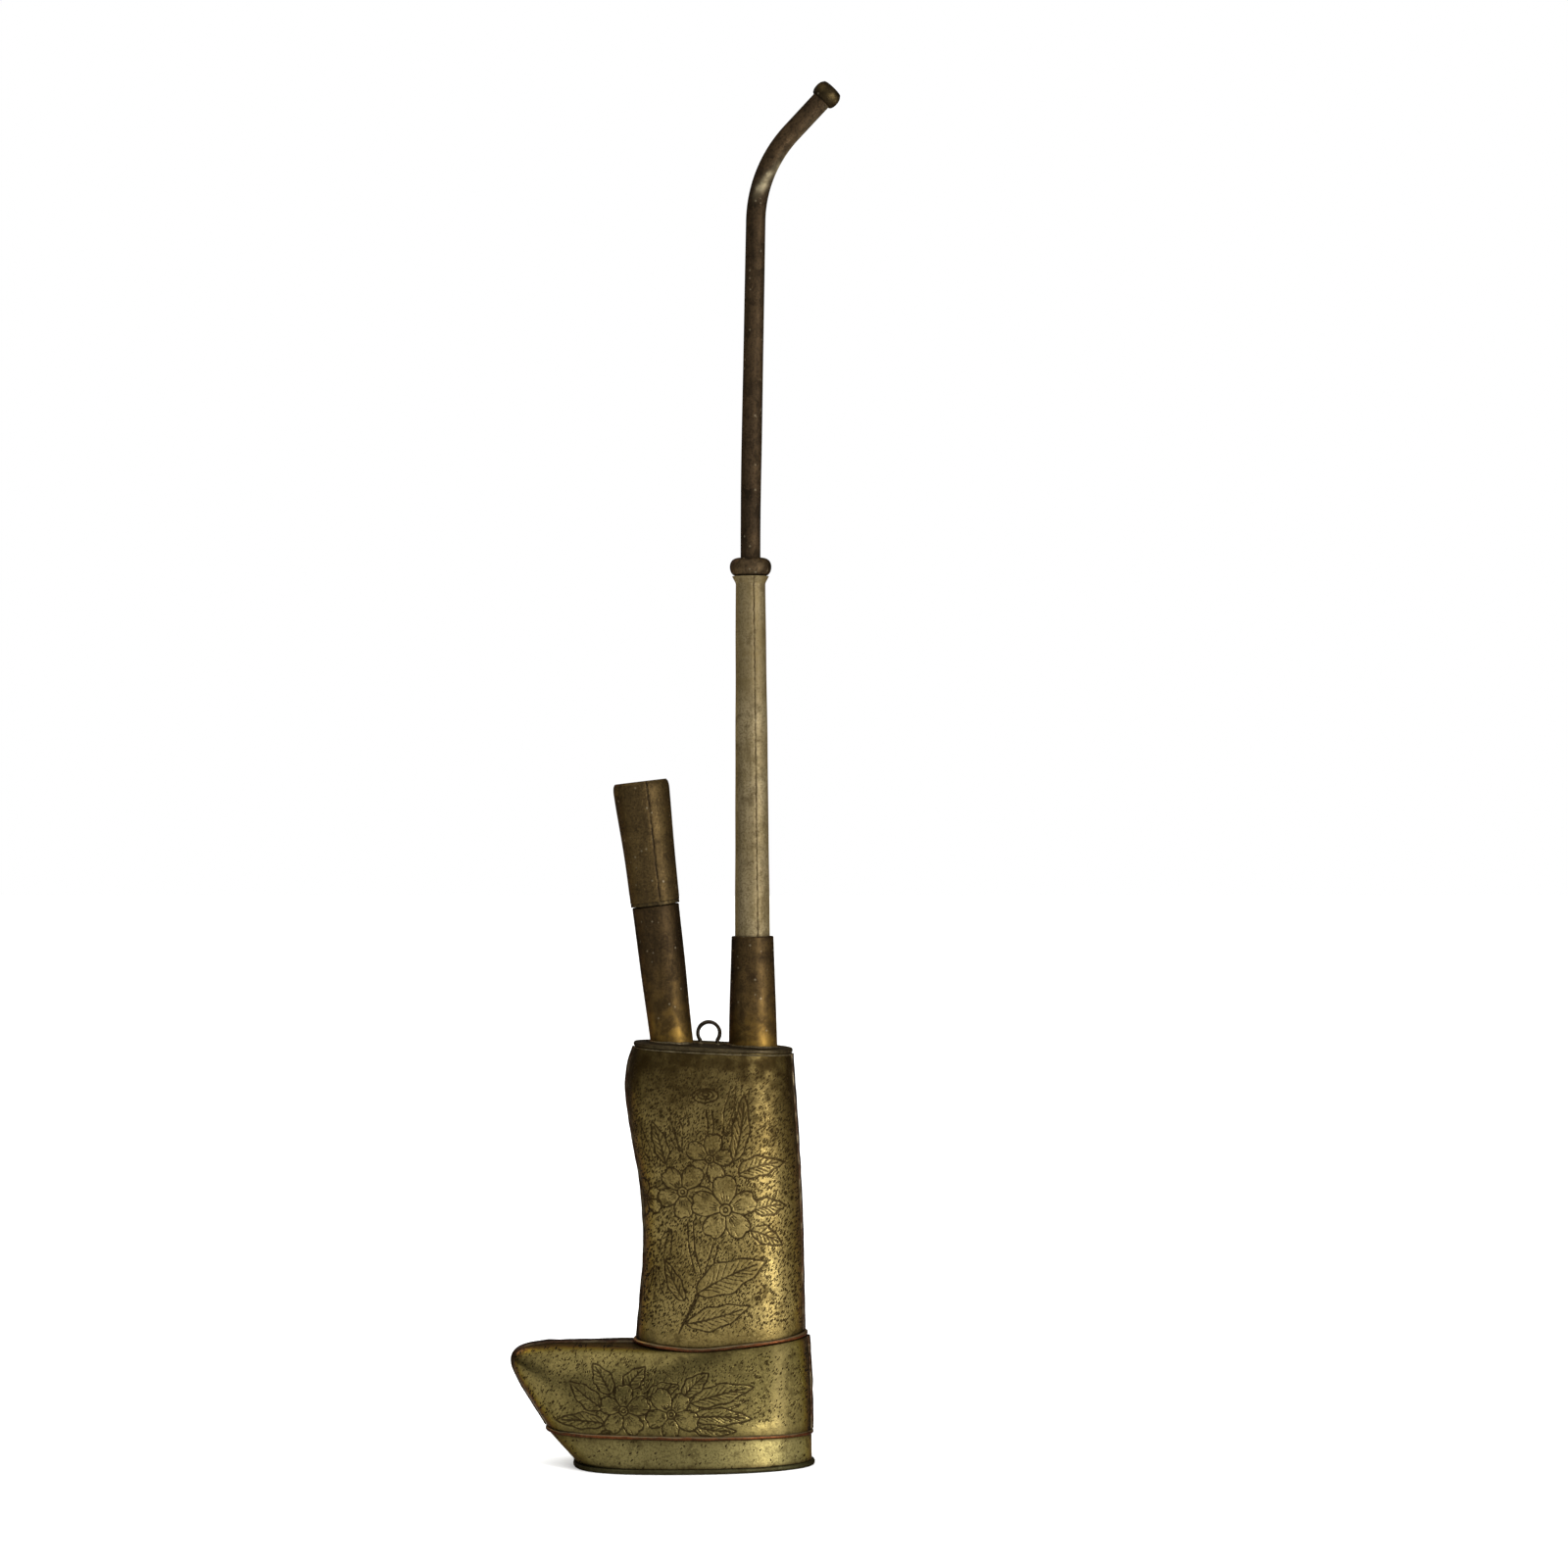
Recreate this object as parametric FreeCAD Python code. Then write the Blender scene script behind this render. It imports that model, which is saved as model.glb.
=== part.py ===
import FreeCAD, Part
import math
import os

# A water pipe in the shape of an old riding boot, made of sheet brass and tube.
# Millimetres, +Z up.  The sole stands on Z = 0, the toe points to -X and the near side is -Y.
# The origin is under the middle of the overall box.

Vector = FreeCAD.Vector

# Sheet and wire
SHEET = 0.8
PLATE = 0.8
STRIP_GAP = 0.08
STRIP_PROUD = 0.45
STRIP_WIDTH = 3.0
STRIP_START = 0.035
BEAD_RADIUS = 0.45
BEAD_LIFT = 0.12
BEAD_GAP = 0.06
FIT = 0.02
RUNNING_FIT = 0.05
SEAT_GAP = 0.12

# Sole
SOLE_PLATE = 1.0
SOLE_LIP = 0.6
SOLE_EDGE = 0.4
SOLE_HEEL = 26.65
SOLE_TOE_LOW = -19.3
SOLE_HALF_DEPTH_LOW = 13.4

# Welt: a slightly tilted plane where foot and sole meet
WELT_HEIGHT = 6.55
WELT_SLOPE = -0.017
WELT_THICK = 0.7
WELT_PROUD = 0.4
WELT_INSIDE = 1.4
WELT_HEEL = 26.55
WELT_TOE = -24.9
WELT_HALF_DEPTH = 13.0
BALL_X = -1.0
TOE_SQUARENESS = 2.7
HEEL_SQUARENESS = 2.1

# Foot
TOE_LEAN = 0.63
TOE_CROWN = 6.0
SIDE_CROWN = 2.0
ANKLE_SHARE = 0.35

# Leg: (height, x) of the front and back edges of the two side panels
SHIN = [(23, -7.5), (33, -6.55), (43, -5.9), (54, -6.55), (64, -8.3), (72.5, -9.4), (78, -8.9), (82, -7.6)]
CALF = [(23, 25.0), (53, 24.3), (82, 22.55)]
LEG_LOW = 23.0
LEG_HIGH = 81.2
LEG_LAP = 1.2
LEG_HALF_DEPTH_LOW = 11.3
LEG_HALF_DEPTH_HIGH = 10.8
LEG_SQUARENESS = 2.4

# Topline: (x, height) of the bead where the leg enters the foot
TOPLINE = [(-9, 24.35), (1, 23.65), (6, 23.7), (16, 24.6), (27, 25.8)]

# Top plate: its upper face falls towards the heel
TOP_MIDDLE_X = 7.5
TOP_HEIGHT = 81.8
TOP_SLOPE = -0.045
TOP_OVERHANG = 0.3

# Bowl: everything is on one axis that leans towards the toe
BOWL_X = -0.68
BOWL_LEAN_DEG = 6.9
BOWL_SOCKET_TOP = 27.0
BOWL_SOCKET_BELOW = 3.5
BOWL_SOCKET_R_LOW = 4.15
BOWL_SOCKET_R_TOP = 4.62
BOWL_BORE_R = 3.70
SLEEVE_R_LOW = 4.78
SLEEVE_R_TOP = 5.5
SLEEVE_TOP = 51.4
SLEEVE_WALL = 0.7
SLEEVE_EDGE = 0.6
SPIGOT_DEPTH = 14.0
SPIGOT_FLANGE = 0.6
SPIGOT_STAND = 5.0
CUP_R = 3.5
CUP_DEPTH = 6.0
CUP_FLOOR = 1.2
DRAFT_R = 1.1
DIP_R = 2.5
DIP_BORE_R = 2.0
DIP_END = 11.0

# Stem: socket, lower tube, ball collar, upper tube and mouthpiece, all on one axis.
# Heights are along that axis, which stands at STEM_X at the top plate and leans a hair to the toe.
STEM_X = 15.15
STEM_LEAN_DEG = 0.3
STEM_SOCKET_TOP = 103.0
STEM_SOCKET_BELOW = 3.5
STEM_SOCKET_R_LOW = 4.75
STEM_SOCKET_R_TOP = 4.12
STEM_BORE_R = 3.48
STEM_SEAT = 84.5
STEM_SEAT_R = 2.7
LOWER_R_SOCKET = STEM_BORE_R - RUNNING_FIT
LOWER_R_TOP = 2.9
LOWER_WALL = 0.6
LIP_LOW = 171.9
LIP_TOP = 173.3
LIP_R = 3.65
SWIVEL_LENGTH = 8.0
COLLAR_R = 4.05
COLLAR_TOP = 176.9
UPPER_R = 1.98
UPPER_R_END = 1.93
UPPER_WALL = 0.5
UPPER_LEAN_START = 184.0
BEND_CORNER = (1.6, 252.7)
BEND_RADIUS = 26.0
LEAN_RADIUS = 900.0
MOUTH_DEG = 43.3
MOUTH_RUN = 21.2
MOUTH_R = 2.66
MOUTH_LENGTH = 3.3
MOUTH_AHEAD = 0.6
MOUTH_SHOULDER = 0.5
MOUTH_CUP = 0.3

# Carrying loop
LOOP_X = 6.5
LOOP_R = 2.15
LOOP_WIRE_R = 0.35
LOOP_RISE = 2.2
LOOP_OPEN_DEG = 52.0
LOOP_SHANK = 1.8

# How many points shape each curved panel
AROUND = 17
UPWARD = 13


def smooth_line(knots, at):
    """The value at one station of the smooth curve through (station, value) knots."""
    i = sum(at > station for station, _ in knots[1:-1])
    (x0, y0), (x1, y1) = knots[i], knots[i + 1]

    def slope(j):
        before = knots[max(j - 1, 0)]
        after = knots[min(j + 1, len(knots) - 1)]
        return (after[1] - before[1]) / (after[0] - before[0]) * (x1 - x0)

    t = (at - x0) / (x1 - x0)
    bend = (1 - t) * slope(i) * t * (1 - t) - t * slope(i + 1) * t * (1 - t)
    return y0 + (y1 - y0) * t * t * (3 - 2 * t) + bend


def rounded(angle, squareness):
    """The point in one direction on a unit circle that is squared up to a superellipse."""
    c, s = math.cos(angle), math.sin(angle)
    radius = (abs(c) ** squareness + abs(s) ** squareness) ** (-1 / squareness)
    return radius * c, radius * s


def welt_plane(x):
    return WELT_HEIGHT + WELT_SLOPE * x


def top_plane(x):
    return TOP_HEIGHT + TOP_SLOPE * (x - TOP_MIDDLE_X)


def sole_outline(angle, toe, heel, half_depth, grow=0.0):
    """A point of the sole's plan at an angle from the heel, as (x, y); the near side is first."""
    rear = math.cos(angle) >= 0
    c, s = rounded(angle, HEEL_SQUARENESS if rear else TOE_SQUARENESS)
    reach = (heel - BALL_X if rear else BALL_X - toe) + grow
    return BALL_X + reach * c, -(half_depth + grow) * s


def leg_outline(angle, height, grow=0.0):
    """A point of the leg's plan at one height, as (x, y)."""
    front, back = smooth_line(SHIN, height), smooth_line(CALF, height)
    share = (height - LEG_LOW) / (LEG_HIGH - LEG_LOW)
    half_depth = LEG_HALF_DEPTH_LOW + (LEG_HALF_DEPTH_HIGH - LEG_HALF_DEPTH_LOW) * share
    c, s = rounded(angle, LEG_SQUARENESS)
    return (front + back) / 2 + ((back - front) / 2 + grow) * c, -(half_depth + grow) * s


def leg_point(angle, rise):
    """A point of the leg's outer face: angle 0 at the calf seam and pi at the shin seam."""
    x, y = leg_outline(angle, LEG_LOW + (LEG_HIGH - LEG_LOW) * rise)
    low = smooth_line(TOPLINE, x) - LEG_LAP
    high = top_plane(x) - PLATE
    return Vector(x, y, low + (high - low) * rise)


def blend(angle, ankle, toe, start=100.0):
    """From a value at the ankle to a value at the toe as the angle goes from start degrees to 180."""
    t = max(0.0, (abs(math.degrees(angle)) - start) / (180.0 - start))
    t = t * t * (3 - 2 * t)
    return ankle + (toe - ankle) * t


def foot_point(angle, rise):
    """A point of the foot's outer face: rise 0 at the welt and 1 where the leg comes out."""
    crown = blend(angle, SIDE_CROWN, TOE_CROWN, 120.0)
    share = blend(angle, ANKLE_SHARE, 1.0, 95.0)
    gap = blend(angle, SHEET + RUNNING_FIT, 2 * RUNNING_FIT, 95.0)
    bx, by = sole_outline(angle, WELT_TOE, WELT_HEEL, WELT_HALF_DEPTH)
    tx, ty = leg_outline(angle, LEG_LOW + LEG_LAP, gap)
    low = welt_plane(bx) + WELT_THICK
    high = smooth_line(TOPLINE, tx) - BEAD_RADIUS
    # A share of a quarter superellipse, followed by its polar angle
    end_climb = (1 - (1 - share) ** crown) ** (1 / crown)
    c, s = rounded(rise * math.atan2(end_climb, 1 - share), crown)
    inward = (1 - c) / share
    climb = s / end_climb
    forward = max(0.0, (BALL_X - bx) / (BALL_X - WELT_TOE)) ** 2
    lean = TOE_LEAN * (high - low) * climb * (1 - inward) * forward
    return Vector(bx + (tx - bx) * inward - lean, by + (ty - by) * inward, low + (high - low) * climb)


def outward(point, angle, rise):
    """The unit normal of a panel's outer face, pointing out of the boot."""
    d = 1e-3
    r0, r1 = max(rise - d, 1e-5), min(rise + d, 1 - 1e-5)
    along = point(angle + d, rise) - point(angle - d, rise)
    up = point(angle, r1) - point(angle, r0)
    normal = up.cross(along)
    return normal.normalize()


def curved_plate(point, angles, rises, thick):
    """A closed solid between a panel's outer face and the same face moved in by its thickness."""
    outer = [[point(a, r) for r in rises] for a in angles]
    inner = [[point(a, r) - outward(point, a, r) * thick for r in rises] for a in angles]
    for grid in (outer, inner):
        for row in (grid[0], grid[-1]):
            for p in row:
                p.y = 0.0
    skins = []
    for grid in (outer, inner):
        skin = Part.BSplineSurface()
        skin.interpolate(grid)
        skins.append(skin)
    faces = [skin.toShape() for skin in skins]
    u0, u1, v0, v1 = skins[0].bounds()
    w0, w1, t0, t1 = skins[1].bounds()
    rims = [(skins[0].uIso(u0), skins[1].uIso(w0)), (skins[0].uIso(u1), skins[1].uIso(w1))]
    rims += [(skins[0].vIso(v0), skins[1].vIso(t0)), (skins[0].vIso(v1), skins[1].vIso(t1))]
    for pair in rims:
        wires = [Part.Wire(curve.toShape()) for curve in pair]
        faces += Part.makeLoft(wires, False, True).Faces
    shell = Part.Compound(faces)
    shell.sewShape(1e-3)
    solid = Part.makeSolid(shell.Shells[0])
    if solid.Volume < 0:
        solid.reverse()
    return solid


def mirrored(shape):
    return shape.mirror(Vector(0, 0, 0), Vector(0, 1, 0))


def closed_curve(points):
    curve = Part.BSplineCurve()
    curve.interpolate(Points=points, PeriodicFlag=True)
    return Part.Wire(curve.toShape())


def around(point, count=48):
    """A closed wire through point(angle) for a whole turn."""
    return closed_curve([point(2 * math.pi * i / count) for i in range(count)])


def even_angles(low, high, count):
    return [low + (high - low) * i / (count - 1) for i in range(count)]


def leg_panel():
    rises = [i / (UPWARD - 1) for i in range(UPWARD)]
    return curved_plate(leg_point, even_angles(0, math.pi, AROUND), rises, SHEET)


def foot_panel():
    rises = [i / (UPWARD - 1) for i in range(UPWARD)]
    return curved_plate(foot_point, even_angles(0, math.pi, 2 * AROUND - 1), rises, SHEET)


def strip(points, side):
    """A flat strip laid over a seam in the XZ plane; side is +1 where outward is left of its run."""
    seam = Part.BSplineCurve()
    seam.interpolate(points)
    first, last = seam.FirstParameter, seam.LastParameter
    faces = []
    for proud in (STRIP_GAP, STRIP_PROUD):
        raised = []
        for i in range(len(points)):
            at = first + (last - first) * i / (len(points) - 1)
            tangent = seam.tangent(at)[0]
            raised.append(seam.value(at) + Vector(-tangent.z, 0, tangent.x) * side * proud)
        curve = Part.BSplineCurve()
        curve.interpolate(raised)
        faces.append((curve, raised))
    (base, low), (top, high) = faces
    ends = [Part.LineSegment(low[0], high[0]), Part.LineSegment(low[-1], high[-1])]
    wire = Part.Wire(Part.__sortEdges__([c.toShape() for c in (base, top, *ends)]))
    face = Part.Face(wire)
    face.translate(Vector(0, -STRIP_WIDTH / 2, 0))
    return face.extrude(Vector(0, STRIP_WIDTH, 0))


def seam_points(point, angle, start, end, count):
    """Points up a seam between two rises, level with the mid-plane."""
    found = [point(angle, start + (end - start) * i / (count - 1)) for i in range(count)]
    return [Vector(p.x, 0, p.z) for p in found]


def ring_between(outer, inner, low, high):
    """The solid between two closed outlines, ruled from one height function to another."""
    solids = []
    for outline in (outer, inner):
        wires = []
        for level, height in enumerate((low, high)):
            def at(angle, level=level, height=height):
                x, y = outline(angle, level)
                return Vector(x, y, height(x))
            wires.append(around(at))
        solids.append(Part.makeLoft(wires, True, True))
    return solids[0].cut(solids[1])


def sole_plate():
    def at(angle):
        x, y = sole_outline(angle, SOLE_TOE_LOW, SOLE_HEEL, SOLE_HALF_DEPTH_LOW, SOLE_LIP)
        return Vector(x, y, 0)
    plate = Part.Face(around(at)).extrude(Vector(0, 0, SOLE_PLATE))
    lower = [e for e in plate.Edges if e.BoundBox.ZMax < SOLE_EDGE]
    return plate.makeFillet(SOLE_EDGE, lower)


def sole_band():
    def outline(grow):
        def at(angle, level):
            toe = WELT_TOE if level else SOLE_TOE_LOW
            heel = WELT_HEEL if level else SOLE_HEEL
            half = WELT_HALF_DEPTH if level else SOLE_HALF_DEPTH_LOW
            return sole_outline(angle, toe, heel, half, grow)
        return at
    return ring_between(outline(0), outline(-SHEET), lambda x: SOLE_PLATE, welt_plane)


def welt_strip():
    def outline(grow):
        return lambda angle, level: sole_outline(angle, WELT_TOE, WELT_HEEL, WELT_HALF_DEPTH, grow)
    ring = ring_between(
        outline(WELT_PROUD), outline(-WELT_INSIDE), welt_plane, lambda x: welt_plane(x) + WELT_THICK
    )
    return ring


def topline_bead():
    """A wire swept round the near half of the leg, and its mirror image."""
    points = []
    for angle in even_angles(0, math.pi, 2 * AROUND - 1):
        x, y = leg_outline(angle, LEG_LOW + LEG_LAP, BEAD_RADIUS + BEAD_GAP)
        points.append(Vector(x, y, smooth_line(TOPLINE, x) + BEAD_LIFT))
    points[0].y = points[-1].y = 0
    curve = Part.BSplineCurve()
    curve.interpolate(Points=points, InitialTangent=Vector(0, -1, 0), FinalTangent=Vector(0, 1, 0))
    circles = []
    for at in even_angles(curve.FirstParameter, curve.LastParameter, 2 * AROUND - 1):
        circle = Part.Circle(curve.value(at), curve.tangent(at)[0], BEAD_RADIUS)
        circles.append(Part.Wire(circle.toShape()))
    half = Part.makeLoft(circles, True, False)
    return half.fuse(mirrored(half)).removeSplitter()


def top_plate():
    def at(angle):
        x, y = leg_outline(angle, LEG_HIGH, TOP_OVERHANG)
        return Vector(x, y, top_plane(x) - PLATE)
    plate = Part.Face(around(at)).extrude(Vector(0, 0, PLATE))
    below, length = -10.0, 20.0
    slope = (BOWL_SOCKET_R_TOP - BOWL_SOCKET_R_LOW) / BOWL_SOCKET_TOP
    hole = Part.makeCone(
        BOWL_SOCKET_R_LOW + slope * below + FIT, BOWL_SOCKET_R_LOW + slope * (below + length) + FIT,
        length, Vector(0, 0, below)
    )
    plate = plate.cut(on_bowl_axis(hole))
    hole = Part.makeCylinder(STEM_SOCKET_R_LOW + FIT, length, Vector(0, 0, TOP_HEIGHT + below))
    plate = plate.cut(on_stem_axis(hole))
    for side in (-1, 1):
        foot = loop_foot(side)
        plate = plate.cut(Part.makeCylinder(LOOP_WIRE_R + FIT, 4, Vector(foot.x, 0, foot.z - 3)))
    return plate


def on_bowl_axis(shape):
    """Moves a shape made round +Z, with Z = 0 at the top plate, onto the bowl's leaning axis."""
    turn = FreeCAD.Rotation(Vector(0, 1, 0), -BOWL_LEAN_DEG)
    moved = shape.copy()
    moved.Placement = FreeCAD.Placement(Vector(BOWL_X, 0, top_plane(BOWL_X)), turn)
    return moved


def turned(profile):
    """A solid of revolution about Z from (radius, height) points."""
    points = [Vector(r, 0, z) for r, z in profile]
    face = Part.Face(Part.makePolygon(points + points[:1]))
    return face.revolve(Vector(0, 0, 0), Vector(0, 0, 1), 360)


def round_edges(solid, radius, wanted):
    """Fillets the circular edges for which wanted(centre height, edge radius) is true."""
    edges = [
        e for e in solid.Edges
        if isinstance(e.Curve, Part.Circle) and wanted(e.Curve.Center.z, e.Curve.Radius)
    ]
    return solid.makeFillet(radius, edges)


def bowl_socket():
    slope = (BOWL_SOCKET_R_TOP - BOWL_SOCKET_R_LOW) / BOWL_SOCKET_TOP
    r_below = BOWL_SOCKET_R_LOW - slope * BOWL_SOCKET_BELOW
    tube = turned([
        (BOWL_BORE_R, -BOWL_SOCKET_BELOW), (r_below, -BOWL_SOCKET_BELOW),
        (BOWL_SOCKET_R_TOP, BOWL_SOCKET_TOP), (BOWL_BORE_R, BOWL_SOCKET_TOP),
    ])
    return on_bowl_axis(tube)


def bowl_sleeve():
    low = BOWL_SOCKET_TOP + SEAT_GAP + SPIGOT_FLANGE + FIT
    sleeve = turned([
        (SLEEVE_R_LOW - SLEEVE_WALL, low), (SLEEVE_R_LOW, low),
        (SLEEVE_R_TOP, SLEEVE_TOP), (SLEEVE_R_TOP - SLEEVE_WALL, SLEEVE_TOP),
    ])
    sleeve = round_edges(sleeve, SLEEVE_EDGE, lambda z, r: z > SLEEVE_TOP - 0.1 and r > SLEEVE_R_TOP - 0.1)
    return on_bowl_axis(sleeve)


def bowl_spigot():
    low = BOWL_SOCKET_TOP + SEAT_GAP
    r = BOWL_BORE_R - RUNNING_FIT
    spigot = turned([
        (DIP_R + FIT, low - SPIGOT_DEPTH), (r, low - SPIGOT_DEPTH), (r, low),
        (SLEEVE_R_LOW, low), (SLEEVE_R_LOW, low + SPIGOT_FLANGE), (r, low + SPIGOT_FLANGE),
        (r, low + SPIGOT_STAND), (DIP_R + FIT, low + SPIGOT_STAND),
    ])
    return on_bowl_axis(spigot)


def bowl_cup():
    """The turned plug in the top of the sleeve: a shallow saucer, the cup, a draft hole and a neck."""
    rim = SLEEVE_R_TOP - SLEEVE_WALL - 0.04
    top = SLEEVE_TOP - 0.35
    saucer = top - 0.8
    floor = saucer - CUP_DEPTH
    neck_r = DIP_BORE_R - FIT
    cup = turned([
        (rim - 0.5, top), (CUP_R, saucer), (CUP_R - 0.25, floor + 1.0), (DRAFT_R, floor),
        (DRAFT_R, floor - CUP_FLOOR - 3.0), (neck_r, floor - CUP_FLOOR - 3.0),
        (neck_r, floor - CUP_FLOOR), (CUP_R, floor - CUP_FLOOR), (CUP_R + 0.7, floor + 1.0),
        (CUP_R + 0.7, saucer - 1.4), (rim - 0.04, saucer - 1.4), (rim, top),
    ])
    return on_bowl_axis(cup)


def dip_tube():
    top = SLEEVE_TOP - 0.35 - 0.8 - CUP_DEPTH - CUP_FLOOR - FIT
    low = (DIP_END - top_plane(BOWL_X)) / math.cos(math.radians(BOWL_LEAN_DEG))
    tube = turned([(DIP_BORE_R, low), (DIP_R, low), (DIP_R, top), (DIP_BORE_R, top)])
    return on_bowl_axis(tube)


def stem_frame():
    """Puts the stem's own Z axis through STEM_X at the top plate, with the same heights."""
    turn = FreeCAD.Rotation(Vector(0, 1, 0), -STEM_LEAN_DEG)
    foot = Vector(STEM_X, 0, top_plane(STEM_X))
    return FreeCAD.Placement(foot - turn.multVec(Vector(0, 0, foot.z)), turn)


def on_stem_axis(shape):
    moved = shape.copy()
    moved.Placement = stem_frame()
    return moved


def stem_socket():
    low = top_plane(STEM_X) - PLATE - STEM_SOCKET_BELOW
    socket = turned([
        (STEM_SEAT_R, low), (STEM_SOCKET_R_LOW, low), (STEM_SOCKET_R_LOW, TOP_HEIGHT),
        (STEM_SOCKET_R_TOP, STEM_SOCKET_TOP), (STEM_BORE_R, STEM_SOCKET_TOP),
        (STEM_BORE_R, STEM_SEAT), (STEM_SEAT_R, STEM_SEAT),
    ])
    return on_stem_axis(socket)


def stem_lower_tube():
    low = STEM_SEAT + RUNNING_FIT
    swivel = LIP_TOP - SWIVEL_LENGTH
    bore = UPPER_R + RUNNING_FIT
    tube = turned([
        (LOWER_R_SOCKET - LOWER_WALL, low), (LOWER_R_SOCKET, low), (LOWER_R_SOCKET, STEM_SOCKET_TOP),
        (LOWER_R_TOP, LIP_LOW), (LIP_R, LIP_TOP), (bore, LIP_TOP), (bore, swivel),
        (LOWER_R_TOP - LOWER_WALL + 0.05, swivel), (LOWER_R_SOCKET - LOWER_WALL, STEM_SOCKET_TOP),
    ])
    return on_stem_axis(tube)


def stem_collar():
    """The ball at the joint: an arc bulging from the lip to the upper tube."""
    low = LIP_TOP + RUNNING_FIT
    bore = UPPER_R + FIT
    ends = [Vector(LIP_R, 0, low), Vector(UPPER_R + 0.35, 0, COLLAR_TOP)]
    bulge = Vector(COLLAR_R, 0, low + 1.45)
    arc = Part.Arc(ends[0], bulge, ends[1]).toShape()
    inner = [Vector(bore, 0, COLLAR_TOP), Vector(bore, 0, low)]
    lines = Part.makePolygon([ends[1], *inner, ends[0]]).Edges
    face = Part.Face(Part.Wire(Part.__sortEdges__([arc, *lines])))
    return on_stem_axis(face.revolve(Vector(0, 0, 0), Vector(0, 0, 1), 360))


def mouth_direction():
    a = math.radians(MOUTH_DEG)
    return Vector(math.sin(a), 0, math.cos(a))


def stem_path():
    """Straight runs joined by tangent arcs: upright, a faint lean, then the bend to the mouthpiece."""
    corner = Vector(BEND_CORNER[0], 0, BEND_CORNER[1])
    points = [
        Vector(0, 0, LIP_TOP - SWIVEL_LENGTH + SEAT_GAP), Vector(0, 0, UPPER_LEAN_START),
        corner, corner + mouth_direction() * MOUTH_RUN,
    ]
    edges = []
    here = points[0]
    for i, radius in ((1, LEAN_RADIUS), (2, BEND_RADIUS)):
        into = (points[i] - points[i - 1]).normalize()
        out = (points[i + 1] - points[i]).normalize()
        turn = into.getAngle(out)
        reach = radius * math.tan(turn / 2)
        start, end = points[i] - into * reach, points[i] + out * reach
        middle = points[i] + (out - into).normalize() * radius * (1 / math.cos(turn / 2) - 1)
        edges.append(Part.LineSegment(here, start).toShape())
        edges.append(Part.Arc(start, middle, end).toShape())
        here = end
    edges.append(Part.LineSegment(here, points[-1]).toShape())
    return Part.Wire(edges), points[-1]


def stem_upper_tube():
    path, end = stem_path()
    start = path.Edges[0].valueAt(path.Edges[0].FirstParameter)
    tubes = []
    for shrink in (0, UPPER_WALL):
        circles = [
            Part.Wire(Part.Circle(start, Vector(0, 0, 1), UPPER_R - shrink).toShape()),
            Part.Wire(Part.Circle(end, mouth_direction(), UPPER_R_END - shrink).toShape()),
        ]
        tubes.append(path.makePipeShell(circles, True, True))
    return on_stem_axis(tubes[0].cut(tubes[1]))


def mouthpiece():
    """The rounded bead over the end of the upper tube."""
    bore = UPPER_R_END + FIT
    tube_bore = UPPER_R_END - UPPER_WALL
    back, front = MOUTH_AHEAD - MOUTH_LENGTH, MOUTH_AHEAD
    shoulder = MOUTH_R - MOUTH_SHOULDER
    bulge = Part.BSplineCurve()
    bulge.interpolate([
        Vector(shoulder, 0, back), Vector(MOUTH_R, 0, (back + front) / 2), Vector(shoulder, 0, front)
    ])
    lines = Part.makePolygon([
        Vector(shoulder, 0, front), Vector(tube_bore + MOUTH_CUP, 0, front), Vector(tube_bore, 0, FIT),
        Vector(bore, 0, FIT), Vector(bore, 0, back), Vector(shoulder, 0, back),
    ]).Edges
    face = Part.Face(Part.Wire(Part.__sortEdges__([bulge.toShape(), *lines])))
    bead = face.revolve(Vector(0, 0, 0), Vector(0, 0, 1), 360)
    _, end = stem_path()
    bead.Placement = stem_frame().multiply(
        FreeCAD.Placement(end, FreeCAD.Rotation(Vector(0, 1, 0), MOUTH_DEG))
    )
    return bead


def loop_foot(side):
    """Where the wire of the carrying loop turns down into the top plate."""
    reach = LOOP_R * math.sin(math.radians(LOOP_OPEN_DEG))
    drop = LOOP_R * math.cos(math.radians(LOOP_OPEN_DEG))
    return Vector(LOOP_X + side * reach, 0, top_plane(LOOP_X) + LOOP_RISE - drop)


def carry_loop():
    left, right = loop_foot(-1), loop_foot(1)
    crown = Vector(LOOP_X, 0, top_plane(LOOP_X) + LOOP_RISE + LOOP_R)
    ends = [Vector(p.x, 0, p.z - LOOP_SHANK) for p in (left, right)]
    parts = []
    arc = Part.Wire(Part.Arc(left, crown, right).toShape())
    tangent = arc.Edges[0].tangentAt(arc.Edges[0].FirstParameter)
    circle = Part.Wire(Part.Circle(left, tangent, LOOP_WIRE_R).toShape())
    parts.append(arc.makePipeShell([circle], True, True))
    for top, end in zip((left, right), ends):
        parts.append(Part.makeSphere(LOOP_WIRE_R, top))
        parts.append(Part.makeCylinder(LOOP_WIRE_R, LOOP_SHANK, end))
    loop = parts[0]
    for extra in parts[1:]:
        loop = loop.fuse(extra)
    return loop.removeSplitter()


def shin_strip():
    return strip(seam_points(leg_point, math.pi, STRIP_START, 0.998, 14), 1)


def calf_strip():
    return strip(seam_points(leg_point, 0, STRIP_START, 0.998, 8), -1)


def instep_strip():
    return strip(seam_points(foot_point, math.pi, 0.01, 0.97, 24), 1)


def heel_strip():
    return strip(seam_points(foot_point, 0, 0.01, 0.97, 10), -1)


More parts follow.
